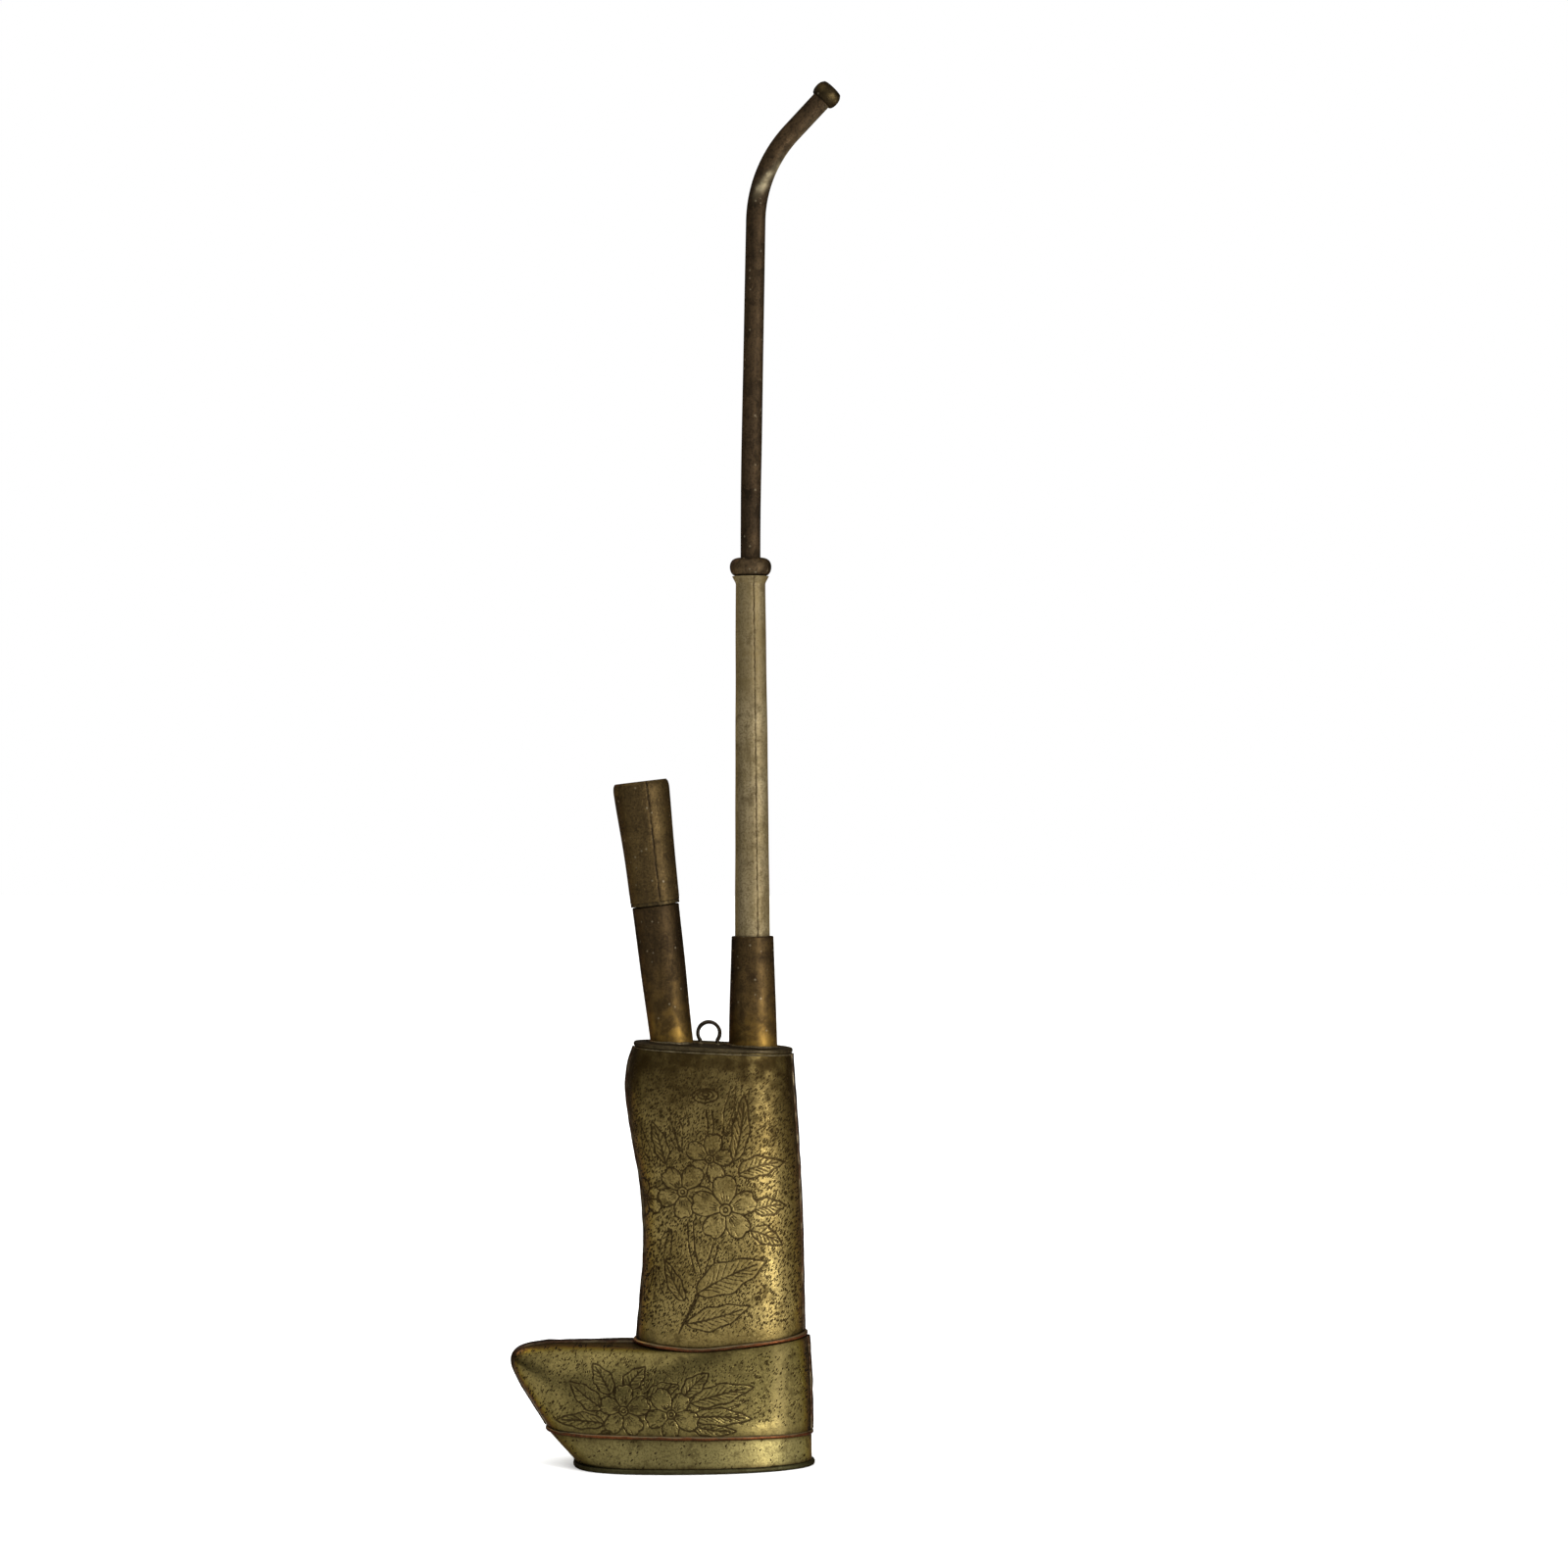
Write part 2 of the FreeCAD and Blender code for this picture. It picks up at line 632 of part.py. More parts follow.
def build():
    leg, foot = leg_panel(), foot_panel()
    return {
        "leg_left_panel": leg,
        "leg_right_panel": mirrored(leg),
        "foot_left_panel": foot,
        "foot_right_panel": mirrored(foot),
        "shin_seam_strip": shin_strip(),
        "calf_seam_strip": calf_strip(),
        "instep_seam_strip": instep_strip(),
        "heel_seam_strip": heel_strip(),
        "topline_bead": topline_bead(),
        "welt_strip": welt_strip(),
        "sole_band": sole_band(),
        "sole_plate": sole_plate(),
        "leg_top_plate": top_plate(),
        "carry_loop": carry_loop(),
        "bowl_socket": bowl_socket(),
        "bowl_sleeve": bowl_sleeve(),
        "bowl_spigot": bowl_spigot(),
        "bowl_cup": bowl_cup(),
        "dip_tube": dip_tube(),
        "stem_socket": stem_socket(),
        "stem_lower_tube": stem_lower_tube(),
        "stem_collar": stem_collar(),
        "stem_upper_tube": stem_upper_tube(),
        "mouthpiece": mouthpiece(),
    }


def main():
    os.makedirs("parts", exist_ok=True)
    box = FreeCAD.BoundBox()
    for name, shape in build().items():
        solids = shape.Solids
        print(f"{name:18s} solids {len(solids)} valid {shape.isValid()} volume {shape.Volume:9.2f}")
        if len(solids) == 1:
            shape = solids[0]
        shape.exportStep(f"parts/{name}.step")
        box.add(shape.optimalBoundingBox(False, False))
    print("box", [round(v, 2) for v in (box.XMin, box.XMax, box.YMin, box.YMax, box.ZMin, box.ZMax)])


main()
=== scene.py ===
import math

import bmesh
import bpy
import numpy as np
from mathutils import Matrix, Vector, kdtree


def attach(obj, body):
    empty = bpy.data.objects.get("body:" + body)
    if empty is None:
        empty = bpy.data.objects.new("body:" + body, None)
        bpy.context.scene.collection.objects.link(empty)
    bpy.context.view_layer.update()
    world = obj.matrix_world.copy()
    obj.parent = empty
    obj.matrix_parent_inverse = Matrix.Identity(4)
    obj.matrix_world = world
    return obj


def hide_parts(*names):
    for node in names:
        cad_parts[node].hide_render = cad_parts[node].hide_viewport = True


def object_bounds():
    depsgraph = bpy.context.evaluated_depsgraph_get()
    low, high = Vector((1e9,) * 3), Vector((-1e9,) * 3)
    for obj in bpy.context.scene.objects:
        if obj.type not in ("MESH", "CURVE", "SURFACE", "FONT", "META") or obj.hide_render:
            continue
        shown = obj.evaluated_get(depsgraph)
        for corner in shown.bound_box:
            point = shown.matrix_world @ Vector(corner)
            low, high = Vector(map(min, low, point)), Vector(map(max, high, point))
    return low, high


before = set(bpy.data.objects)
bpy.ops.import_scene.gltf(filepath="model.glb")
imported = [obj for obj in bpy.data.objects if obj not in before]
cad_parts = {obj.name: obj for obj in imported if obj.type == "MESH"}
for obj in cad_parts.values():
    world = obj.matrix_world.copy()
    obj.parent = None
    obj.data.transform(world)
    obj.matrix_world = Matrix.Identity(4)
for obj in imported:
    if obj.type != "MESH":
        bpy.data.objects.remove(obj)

# A boot-shaped brass water pipe.  Shapes are worked out in millimetres in the CAD frame
# (+Z up, toe to -X, near side -Y) and turned into metres when a mesh is made.

MM = 0.001
CAD_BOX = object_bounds()

# ---------------- driving dimensions (mm)

SHEET = 0.8
STRIP_PROUD, STRIP_SUNK = 0.45, 0.06
STRIP_HALF_WIDTH = 1.5
BEAD_RADIUS = 0.45
WELT_THICK = 0.7
TOPLINE_WIRE, WELT_WIRE = 0.42, 0.4
SHARP_ANGLE = math.radians(40)
UPWARD, ACROSS = np.array([0.0, 0.0, 1.0]), np.array([0.0, 1.0, 0.0])

SHIN = [(23, -7.5), (33, -6.55), (43, -5.9), (54, -6.55), (64, -8.3), (72.5, -9.4), (78, -8.9), (82, -7.6)]
CALF = [(23, 25.0), (53, 24.3), (82, 22.55)]
TOPLINE = [(-9, 24.35), (1, 23.65), (6, 23.7), (16, 24.6), (27, 25.8)]
LEG_LOW, LEG_HIGH, LEG_LAP = 23.0, 81.2, 1.2
LEG_HALF_DEPTH_LOW, LEG_HALF_DEPTH_HIGH = 11.3, 10.8
LEG_SQUARENESS = 2.4
TOE_SQUARENESS, HEEL_SQUARENESS = 2.7, 2.1
BALL_X = -1.0
WELT_TOE, WELT_HEEL, WELT_HALF_DEPTH = -24.9, 26.55, 13.0
SOLE_TOE_LOW, SOLE_HEEL, SOLE_HALF_DEPTH_LOW = -19.3, 26.65, 13.4
SOLE_PLATE, SOLE_LIP = 1.0, 0.6
TOE_LEAN, TOE_CROWN, SIDE_CROWN, ANKLE_SHARE = 0.63, 6.0, 2.0, 0.35
TOP_PLATE, TOP_OVERHANG = 0.8, 0.3

BOWL_X, BOWL_LEAN = -0.68, math.radians(6.9)
STEM_X, STEM_LEAN = 15.15, math.radians(0.3)
COLLAR_R, COLLAR_LOW, COLLAR_TOP = 4.05, 173.35, 176.9
UPPER_FOOT, UPPER_WALL = 165.42, 0.5
UPPER_R, UPPER_R_END, UPPER_LEAN_START = 1.98, 1.93, 184.0
BEND_CORNER, BEND_RADIUS, LEAN_RADIUS = (1.6, 252.7), 26.0, 900.0
MOUTH_DEG, MOUTH_RUN = 43.3, 21.2
LOOP_X, LOOP_R, LOOP_RISE, LOOP_OPEN_DEG = 6.5, 2.15, 2.2, 52.0

# Fine surface: grids of points as (columns, rows), the cuts, the painted highlight band and the grime and
# painted shade under the rims.
LEG_GRID, FOOT_GRID, INNER_ROWS = (280, 320), (380, 118), 14
CUT_DEPTH, CUT_HALF_WIDTH, THIN_CUT = 0.075, 0.17, 0.06
SEAM_DEPTH, SEAM_HALF_WIDTH, FAR_FROM_SEAM = 0.07, 0.16, 3.0
LEG_SHADE, FOOT_SHADE = 18.0, 0.7
# A painted highlight band on the foot: its x, its width and its strength.
HIGHLIGHT_X, HIGHLIGHT_WIDTH, FOOT_HIGHLIGHT = 20.4, 1.5, 0.28

# Round parts as (radius, height, corner radius); heights are from the top plate for the bowl, else from z = 0.
BOWL_SOCKET = [(3.70, -3.5, 0), (4.09, -3.5, 0), (4.15, 0, 0), (4.62, 27.0, 0.35), (3.70, 27.0, 0.2)]
STEM_SOCKET = [(2.7, 77.5, 0), (4.75, 77.5, 0), (4.75, 81.8, 0), (4.12, 103.0, 0.35), (3.48, 103.0, 0.15),
               (3.48, 84.5, 0), (2.7, 84.5, 0)]
BOWL_SLEEVE = [(4.08, 27.74, 0), (4.78, 27.74, 0.2), (5.44, 49.9, 0.5), (5.32, 50.85, 0.4),
               (5.02, 51.33, 0.3), (4.85, 51.4, 0.1), (4.8, 51.2, 0)]
LOWER_TUBE = [(2.83, 84.55, 0), (3.43, 84.55, 0.1), (3.43, 103.0, 0), (2.9, 171.9, 0.3), (3.65, 173.3, 0.15),
              (2.03, 173.3, 0), (2.03, 165.3, 0), (2.35, 165.3, 0), (2.83, 103.0, 0)]
BOWL_HOLE, STEM_HOLE = 4.16, 4.76

# The key light's height and the camera's place in mm, strengths, powers in watts and the floor in metres.
KEY_HEIGHT = 100.0
CAMERA_X, CAMERA_Z, CAMERA_DISTANCE, VIEW_WIDTH = 21.2, 132.7, 788.0, 306.4
FLOOR_HALF_WIDTH = 4.0
WORLD_PALE, WORLD_DARK, WORLD_BEHIND, WORLD_ABOVE = 0.45, 0.12, 0.4, 1.5
KEY_POWER, FILL_POWER, TOP_POWER, BACK_POWER = 12.6, 0.8, 2.0, 8.0


# ---------------- outlines and faces

def smooth_line(knots, at):
    """Values at the stations of the smooth curve through (station, value) knots."""
    xs, ys = np.array(knots, float).T
    i = np.clip(np.searchsorted(xs, at) - 1, 0, len(xs) - 2)
    each = np.arange(len(xs))
    before, after = np.maximum(each - 1, 0), np.minimum(each + 1, len(xs) - 1)
    slopes = (ys[after] - ys[before]) / (xs[after] - xs[before])
    span = xs[i + 1] - xs[i]
    t = (at - xs[i]) / span
    bend = span * t * (1 - t) * ((1 - t) * slopes[i] - t * slopes[i + 1])
    return ys[i] + (ys[i + 1] - ys[i]) * t * t * (3 - 2 * t) + bend


def rounded(angle, squareness):
    """The points in some directions on a unit circle squared up to a superellipse."""
    c, s = np.cos(angle), np.sin(angle)
    radius = (abs(c) ** squareness + abs(s) ** squareness) ** (-1 / squareness)
    return radius * c, radius * s


def ease(t):
    t = np.clip(t, 0, 1)
    return t * t * (3 - 2 * t)


def unit(vectors):
    return vectors / np.linalg.norm(vectors, axis=-1, keepdims=True)


def circle(count):
    return np.arange(count) * 2 * math.pi / count


def welt_plane(x):
    return 6.55 - 0.017 * x


def top_plane(x):
    return 81.8 - 0.045 * (x - 7.5)


def sole_outline(angle, toe, heel, half_depth, grow=0.0):
    rear = np.cos(angle) >= 0
    c, s = rounded(angle, np.where(rear, HEEL_SQUARENESS, TOE_SQUARENESS))
    reach = np.where(rear, heel - BALL_X, BALL_X - toe) + grow
    return BALL_X + reach * c, -(half_depth + grow) * s


def leg_outline(angle, height, grow=0.0):
    front, back = smooth_line(SHIN, height), smooth_line(CALF, height)
    share = (height - LEG_LOW) / (LEG_HIGH - LEG_LOW)
    half_depth = LEG_HALF_DEPTH_LOW + (LEG_HALF_DEPTH_HIGH - LEG_HALF_DEPTH_LOW) * share
    c, s = rounded(angle, LEG_SQUARENESS)
    return (front + back) / 2 + ((back - front) / 2 + grow) * c, -(half_depth + grow) * s


def leg_face(angle, rise):
    """Points of the leg's outer face: angle 0 at the calf seam and pi at the shin seam."""
    x, y = leg_outline(angle, LEG_LOW + (LEG_HIGH - LEG_LOW) * rise)
    low = smooth_line(TOPLINE, x) - LEG_LAP
    high = top_plane(x) - TOP_PLATE
    return np.stack([x, y, low + (high - low) * rise], -1)


def foot_face(angle, rise):
    """Points of the foot's outer face: rise 0 at the welt and 1 where the leg comes out."""
    turned = abs(np.degrees(angle))
    toeward = ease((turned - 95) / 85)
    crown = SIDE_CROWN + (TOE_CROWN - SIDE_CROWN) * ease((turned - 120) / 60)
    share = ANKLE_SHARE + (1 - ANKLE_SHARE) * toeward
    gap = 0.85 - 0.75 * toeward
    bx, by = sole_outline(angle, WELT_TOE, WELT_HEEL, WELT_HALF_DEPTH)
    tx, ty = leg_outline(angle, LEG_LOW + LEG_LAP, gap)
    low = welt_plane(bx) + WELT_THICK
    high = smooth_line(TOPLINE, tx) - BEAD_RADIUS
    end_climb = (1 - (1 - share) ** crown) ** (1 / crown)
    c, s = rounded(rise * np.arctan2(end_climb, 1 - share), crown)
    inward, climb = (1 - c) / share, s / end_climb
    forward = np.maximum(0, (BALL_X - bx) / (BALL_X - WELT_TOE)) ** 2
    lean = TOE_LEAN * (high - low) * climb * (1 - inward) * forward
    x = bx + (tx - bx) * inward - lean
    y = by + (ty - by) * inward
    return np.stack([x, y, low + (high - low) * climb], -1)


def sole_face(angle, rise):
    """Points of the sole's wall: rise 0 at the sole plate and 1 at the welt."""
    toe = SOLE_TOE_LOW + (WELT_TOE - SOLE_TOE_LOW) * rise
    heel = SOLE_HEEL + (WELT_HEEL - SOLE_HEEL) * rise
    half = SOLE_HALF_DEPTH_LOW + (WELT_HALF_DEPTH - SOLE_HALF_DEPTH_LOW) * rise
    x, y = sole_outline(angle, toe, heel, half)
    return np.stack([x, y, SOLE_PLATE + (welt_plane(x) - SOLE_PLATE) * rise], -1)


def undulation(points, wavelength, seed, waves=7):
    """Smooth random hills over points, about -1 to 1, with one typical wavelength in mm."""
    rng = np.random.default_rng(seed)
    total = np.zeros(points.shape[:-1])
    for _ in range(waves):
        direction = unit(rng.normal(size=3))
        stretch = wavelength * rng.uniform(0.7, 1.5)
        total += np.sin(points @ direction * (2 * math.pi / stretch) + rng.uniform(0, 2 * math.pi))
    return total / math.sqrt(waves) / 1.2

def grid_normals(points):
    along, up = np.gradient(points, axis=0), np.gradient(points, axis=1)
    return unit(np.cross(up, along))


def normals_at(face, angle, rise, d=1e-3):
    low, high = np.maximum(rise - d, 1e-5), np.minimum(rise + d, 1 - 1e-5)
    along = face(angle + d, rise) - face(angle - d, rise)
    return unit(np.cross(face(angle, high) - face(angle, low), along))


# ---------------- mesh making

def new_piece(name, points, faces, attributes, look, node=None, body="boot"):
    """A mesh object from points in mm; attributes are one number for each point."""
    material, slot = LOOKS[look]
    mesh = bpy.data.meshes.new(name)
    mesh.from_pydata((np.asarray(points, float) * MM).tolist(), [], faces)
    for key, values in attributes.items():
        layer = mesh.attributes.new(key, "FLOAT", "POINT")
        layer.data.foreach_set("value", np.asarray(values, np.float32).ravel())
    mesh.validate()
    shape = bmesh.new()
    shape.from_mesh(mesh)
    bmesh.ops.recalc_face_normals(shape, faces=shape.faces)
    shape.to_mesh(mesh)
    shape.free()
    mesh.shade_smooth()
    mesh.set_sharp_from_angle(angle=SHARP_ANGLE)
    mesh.materials.append(material)
    piece = bpy.data.objects.new(name, mesh)
    bpy.context.scene.collection.objects.link(piece)
    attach(piece, body)
    if node:
        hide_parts(node)
    return piece


def grid_faces(rows, columns, start=0, flip=False, close_rows=False, close_columns=False):
    """Quads of a grid whose point (i, j) has the index start + i * columns + j."""
    i = np.arange(rows if close_rows else rows - 1)[:, None]
    j = np.arange(columns if close_columns else columns - 1)[None, :]
    here, after = i * columns, (i + 1) % rows * columns
    j1 = (j + 1) % columns
    quads = np.stack(np.broadcast_arrays(here + j, here + j1, after + j1, after + j), -1)
    quads = quads.reshape(-1, 4) + start
    return (quads[:, ::-1] if flip else quads).tolist()


def half_panel(name, face, grid, mirror, finish, look, node):
    """One side sheet: a fine outer face, a coarse inner one and the rims between them."""
    columns, rows = grid
    angle = np.linspace(0, math.pi, columns)[:, None]
    rise = np.linspace(0, 1, rows)[None, :]
    outer = face(angle + 0 * rise, rise + 0 * angle)
    normal = grid_normals(outer)
    coarse = np.linspace(0, rows - 1, INNER_ROWS).round().astype(int)
    inner = (outer - normal * SHEET)[:, coarse]
    shaped, attributes = finish(outer, normal)
    for skin in (shaped, inner):
        skin[0, :, 1] = skin[-1, :, 1] = 0
    start = columns * rows
    points = np.concatenate([shaped.reshape(-1, 3), inner.reshape(-1, 3)])
    faces = grid_faces(columns, rows) + grid_faces(columns, INNER_ROWS, start, flip=True)
    for i in range(columns - 1):
        a, b = i * rows, (i + 1) * rows
        c, d = start + i * INNER_ROWS, start + (i + 1) * INNER_ROWS
        faces.append([b, a, c, d])
        faces.append([a + rows - 1, b + rows - 1, d + INNER_ROWS - 1, c + INNER_ROWS - 1])
    for i, turn in ((0, 1), (columns - 1, -1)):
        rim = [i * rows + j for j in range(rows)][::-1]
        rim += [start + i * INNER_ROWS + j for j in range(INNER_ROWS)]
        faces.append(rim[::turn])
    if mirror:
        points = points * np.array([1, -1, 1])
        faces = [f[::-1] for f in faces]
    blank = np.ones(columns * INNER_ROWS)
    attributes = {k: np.concatenate([v.ravel(), blank * v.max()]) for k, v in attributes.items()}
    return new_piece(name, points, faces, attributes, look, node)


def placement(x, lean):
    """The frame of a tube's axis: it stands at x on the top plate and leans towards the toe."""
    return Matrix.Translation((x, 0, float(top_plane(x)))) @ Matrix.Rotation(-lean, 4, "Y")


BOWL_AXIS = placement(BOWL_X, BOWL_LEAN)
STEM_FOOT = placement(STEM_X, STEM_LEAN)
STEM_AXIS = STEM_FOOT @ Matrix.Translation((0, 0, -float(top_plane(STEM_X))))


def moved(points, matrix):
    m = np.array(matrix)
    return points @ m[:3, :3].T + m[:3, 3]


def rounded_profile(profile, step):
    """(radius, height, corner radius) points as a closed outline with its corners rounded."""
    corners = [np.array(p[:2], float) for p in profile]
    outline = []
    for i, here in enumerate(corners):
        radius = profile[i][2]
        if radius:
            back, on = corners[i - 1] - here, corners[(i + 1) % len(corners)] - here
            reach = min(radius, np.linalg.norm(back) * 0.45, np.linalg.norm(on) * 0.45)
            a, b = here + unit(back) * reach, here + unit(on) * reach
            outline += [(1 - t) ** 2 * a + 2 * t * (1 - t) * here + t * t * b for t in np.linspace(0, 1, 6)]
        else:
            outline.append(here)
    dense = []
    for i, here in enumerate(outline):
        after = outline[(i + 1) % len(outline)]
        pieces = max(1, int(np.linalg.norm(after - here) / step))
        dense += [here + (after - here) * k / pieces for k in range(pieces)]
    return np.array(dense)


def turned(name, profile, matrix, look, node, body="boot", segments=128, step=1.0, wobble=0.06, seed=0,
           seam=None, wear_and_glow=None):
    """A closed solid of revolution; seam(height) gives the seam line's angle, and the wear function by height
    gives the wear, which on the sockets is a painted highlight glow at the base.
    """
    outline = rounded_profile(profile, step)
    angle = circle(segments)[:, None]
    radius, height = outline.T
    local = np.stack([radius * np.cos(angle), radius * np.sin(angle), height + 0 * angle], -1)
    swell = 1 + wobble * undulation(local, 14, seed) / max(radius.max(), 1)
    local[..., :2] *= swell[..., None]
    far = np.full(local.shape[:2], FAR_FROM_SEAM)
    if seam is not None:
        away = (angle - seam(height) + math.pi) % (2 * math.pi) - math.pi
        far = np.clip(radius * away, -FAR_FROM_SEAM, FAR_FROM_SEAM)
        groove = SEAM_DEPTH * np.exp(-(far / SEAM_HALF_WIDTH) ** 2) * (radius > 0.8 * radius.max())
        local[..., :2] *= (1 - groove / radius)[..., None]
    points = moved(local.reshape(-1, 3), matrix)
    faces = grid_faces(segments, len(outline), flip=True, close_rows=True, close_columns=True)
    wear_and_glow_share = np.broadcast_to(wear_and_glow(height) if wear_and_glow else 0.0, far.shape)
    return new_piece(name, points, faces, {"seam": far, "wear_and_glow": wear_and_glow_share}, look, node, body)


def swept(name, path, radius, segments, look, node=None, body="boot", closed=False, bore=None, wear_and_glow=None):
    """A round bar, or a tube if bore is given, along a path in mm; radius may differ from point to point."""
    path = np.asarray(path, float)
    count = len(path)
    tangent = unit(np.roll(path, -1, 0) - np.roll(path, 1, 0) if closed else np.gradient(path, axis=0))
    side = unit(np.cross(tangent, UPWARD if closed else ACROSS))
    up = np.cross(side, tangent)
    angle = circle(segments)
    ring = side[:, None] * np.cos(angle)[:, None] + up[:, None] * np.sin(angle)[:, None]
    radius = np.broadcast_to(radius, count)[:, None, None]
    points = (path[:, None] + ring * radius).reshape(-1, 3)
    faces = grid_faces(count, segments, close_rows=closed, close_columns=True, flip=True)
    last = (count - 1) * segments
    if bore is not None:
        inner = (path[:, None] + ring * (radius - bore)).reshape(-1, 3)
        start = len(points)
        points = np.concatenate([points, inner])
        faces += grid_faces(count, segments, start, close_columns=True)
        for k in range(segments):
            k1 = (k + 1) % segments
            faces.append([k, k1, start + k1, start + k])
            faces.append([last + k1, last + k, start + last + k, start + last + k1])
    elif not closed:
        faces.append(list(range(segments)))
        faces.append([last + k for k in range(segments)][::-1])
    around = np.tile(np.sin(angle), len(points) // segments)
    wear_and_glow_share = np.zeros(len(points)) if wear_and_glow is None else wear_and_glow(points)
    values = {"around": around, "seam": np.full(len(points), FAR_FROM_SEAM), "wear_and_glow": wear_and_glow_share}
    return new_piece(name, points, faces, values, look, node, body)


# ---------------- engraving

def spline(points, step=0.07):
    """Close points on the smooth curve through a few (x, z) points."""
    p = np.asarray(points, float)
    if len(p) > 2:
        slopes = np.gradient(p, axis=0)
        t = np.linspace(0, 1, 12, endpoint=False)[:, None]
        runs = []
        for a, b, m, n in zip(p[:-1], p[1:], slopes[:-1], slopes[1:]):
            runs.append(a + (b - a) * t * t * (3 - 2 * t) + t * (1 - t) * ((1 - t) * m - t * n))
        p = np.concatenate(runs + [p[-1:]])
    length = np.concatenate([[0], np.cumsum(np.linalg.norm(np.diff(p, axis=0), axis=1))])
    at = np.linspace(0, length[-1], max(3, int(length[-1] / step)))
    return np.stack([np.interp(at, length, p[:, 0]), np.interp(at, length, p[:, 1])], 1)


class Engraving:
    """Cut lines and areas kept free of punch marks on one side sheet, drawn in (x, z) mm."""

    def __init__(self, seed):
        self.rng = np.random.default_rng(seed)
        self.lines = {"bold": [], "fine": []}
        self.kept = []

    def line(self, points, kind="bold"):
        """Cuts a line where no earlier flower or leaf covers it."""
        p = spline(points)
        for area in self.kept:
            p = p[~area(p[:, 0], p[:, 1])]
        if len(p):
            self.lines[kind].append(p)

    def blossom(self, x, z, size, turn, petals=5):
        half = math.pi / petals
        t = np.linspace(-1, 1, 23)
        sizes = size * self.rng.uniform(0.9, 1.08, petals)

        def reach(k, q):
            notch = 1 - 0.07 * np.exp(-((q - 0.1) / 0.16) ** 2)
            return sizes[k] * (0.5 + 0.5 * (1 - abs(q) ** 2.6)) * notch

        def ray(angle, start, end, kind="fine"):
            direction = np.array([math.cos(angle), math.sin(angle)])
            self.line([np.array([x, z]) + direction * r for r in (start, end)], kind)

        for k in range(petals):
            middle = turn + 2 * half * k
            angle = middle + half * t
            edge = reach(k, t)
            self.line(np.stack([x + edge * np.cos(angle), z + edge * np.sin(angle)], 1))
            ray(middle + half, 0.2 * size, 0.52 * size, "bold")
            for q in (-0.5, -0.2, 0.15, 0.45):
                ray(middle + half * q, 0.26 * size, self.rng.uniform(0.38, 0.56) * size)
            for q in (-0.66, -0.38, 0.4, 0.68):
                ray(middle + half * q, self.rng.uniform(0.74, 0.82) * reach(k, q), 0.97 * reach(k, q))
        round_about = np.linspace(0, 2 * math.pi, 16)
        for share in (0.07, 0.17):
            r = size * share
            self.line(np.stack([x + r * np.cos(round_about), z + r * np.sin(round_about)], 1))

        def inside(px, pz):
            q = (np.arctan2(pz - z, px - x) - turn + half) % (2 * math.pi)
            k = np.minimum((q / (2 * half)).astype(int), petals - 1)
            return np.hypot(px - x, pz - z) < reach(k, q / half - 2 * k - 1)

        self.kept.append(inside)

    def leaf(self, x, z, length, width, degrees, bend=0.0, veins=5):
        base = np.array([x, z])
        d = np.array([math.cos(math.radians(degrees)), math.sin(math.radians(degrees))])
        n = np.array([-d[1], d[0]])
        ripple = self.rng.uniform(0, 6)

        def half_width(t):
            swell = np.sin(math.pi * np.clip(t, 0, 1) ** 0.8) ** 0.85
            return width * swell * (1 + 0.1 * np.sin(17 * t + ripple))

        def middle(t):
            return base + length * (t[:, None] * d + bend * (t * t)[:, None] * n)

        t = np.linspace(0, 1, 17)
        for side in (-1, 1):
            self.line(middle(t) + side * half_width(t)[:, None] * n)
            for k in range(veins):
                low = 0.12 + 0.66 * (k + 0.2 * side) / veins
                high = np.array([low, low + 0.09, low + 0.16])
                share = np.array([0.05, 0.42, self.rng.uniform(0.6, 0.85)])
                self.line(middle(high) + side * (share * half_width(high))[:, None] * n, "fine")
        self.line(middle(t[:-2]))

        def inside(px, pz):
            along = ((px - x) * d[0] + (pz - z) * d[1]) / length
            across = (px - x) * n[0] + (pz - z) * n[1] - length * bend * along ** 2
            return (along > 0) & (along < 1) & (abs(across) < 0.97 * half_width(along))

        self.kept.append(inside)

    def spray(self, x, z, length, degrees, spread, count):
        """A tuft of thin curved blades from one foot, every other one only a single cut."""
        for k in range(count):
            lean = math.radians(degrees + spread * (k / (count - 1) - 0.5) + self.rng.uniform(-4, 4))
            reach = length * self.rng.uniform(0.65, 1.0)
            curl = 0.3 * reach * math.sin(2 * (lean - math.radians(degrees)))
            d = np.array([math.cos(lean), math.sin(lean)])
            n = np.array([d[1], -d[0]])
            foot = np.array([x, z])
            tip = foot + d * reach + n * curl
            for bulge in ((-0.08, 0.08) if k % 2 == 0 else (0.0,)):
                waist = foot + d * 0.55 * reach + n * (0.3 * curl + bulge * reach)
                self.line([foot + d * 0.1 * reach, waist, tip], "fine")

    def distance(self, points):
        """How far each point is from a cut; thin cuts count as a little further away."""
        flat = points.reshape(-1, 3).tolist()
        nearest = np.ones(len(flat))
        for kind, thinner in (("bold", 0.0), ("fine", THIN_CUT)):
            samples = np.concatenate(self.lines[kind])
            tree = kdtree.KDTree(len(samples))
            for i, (px, pz) in enumerate(samples):
                tree.insert((px, pz, 0), i)
            tree.balance()
            found = np.array([tree.find((px, pz, 0))[2] for px, _, pz in flat])
            nearest = np.minimum(nearest, found + thinner)
        return nearest.reshape(points.shape[:-1])

    def kept_plain(self, points):
        x, z = points[..., 0], points[..., 2]
        return np.clip(sum(area(x, z).astype(float) for area in self.kept), 0, 1)


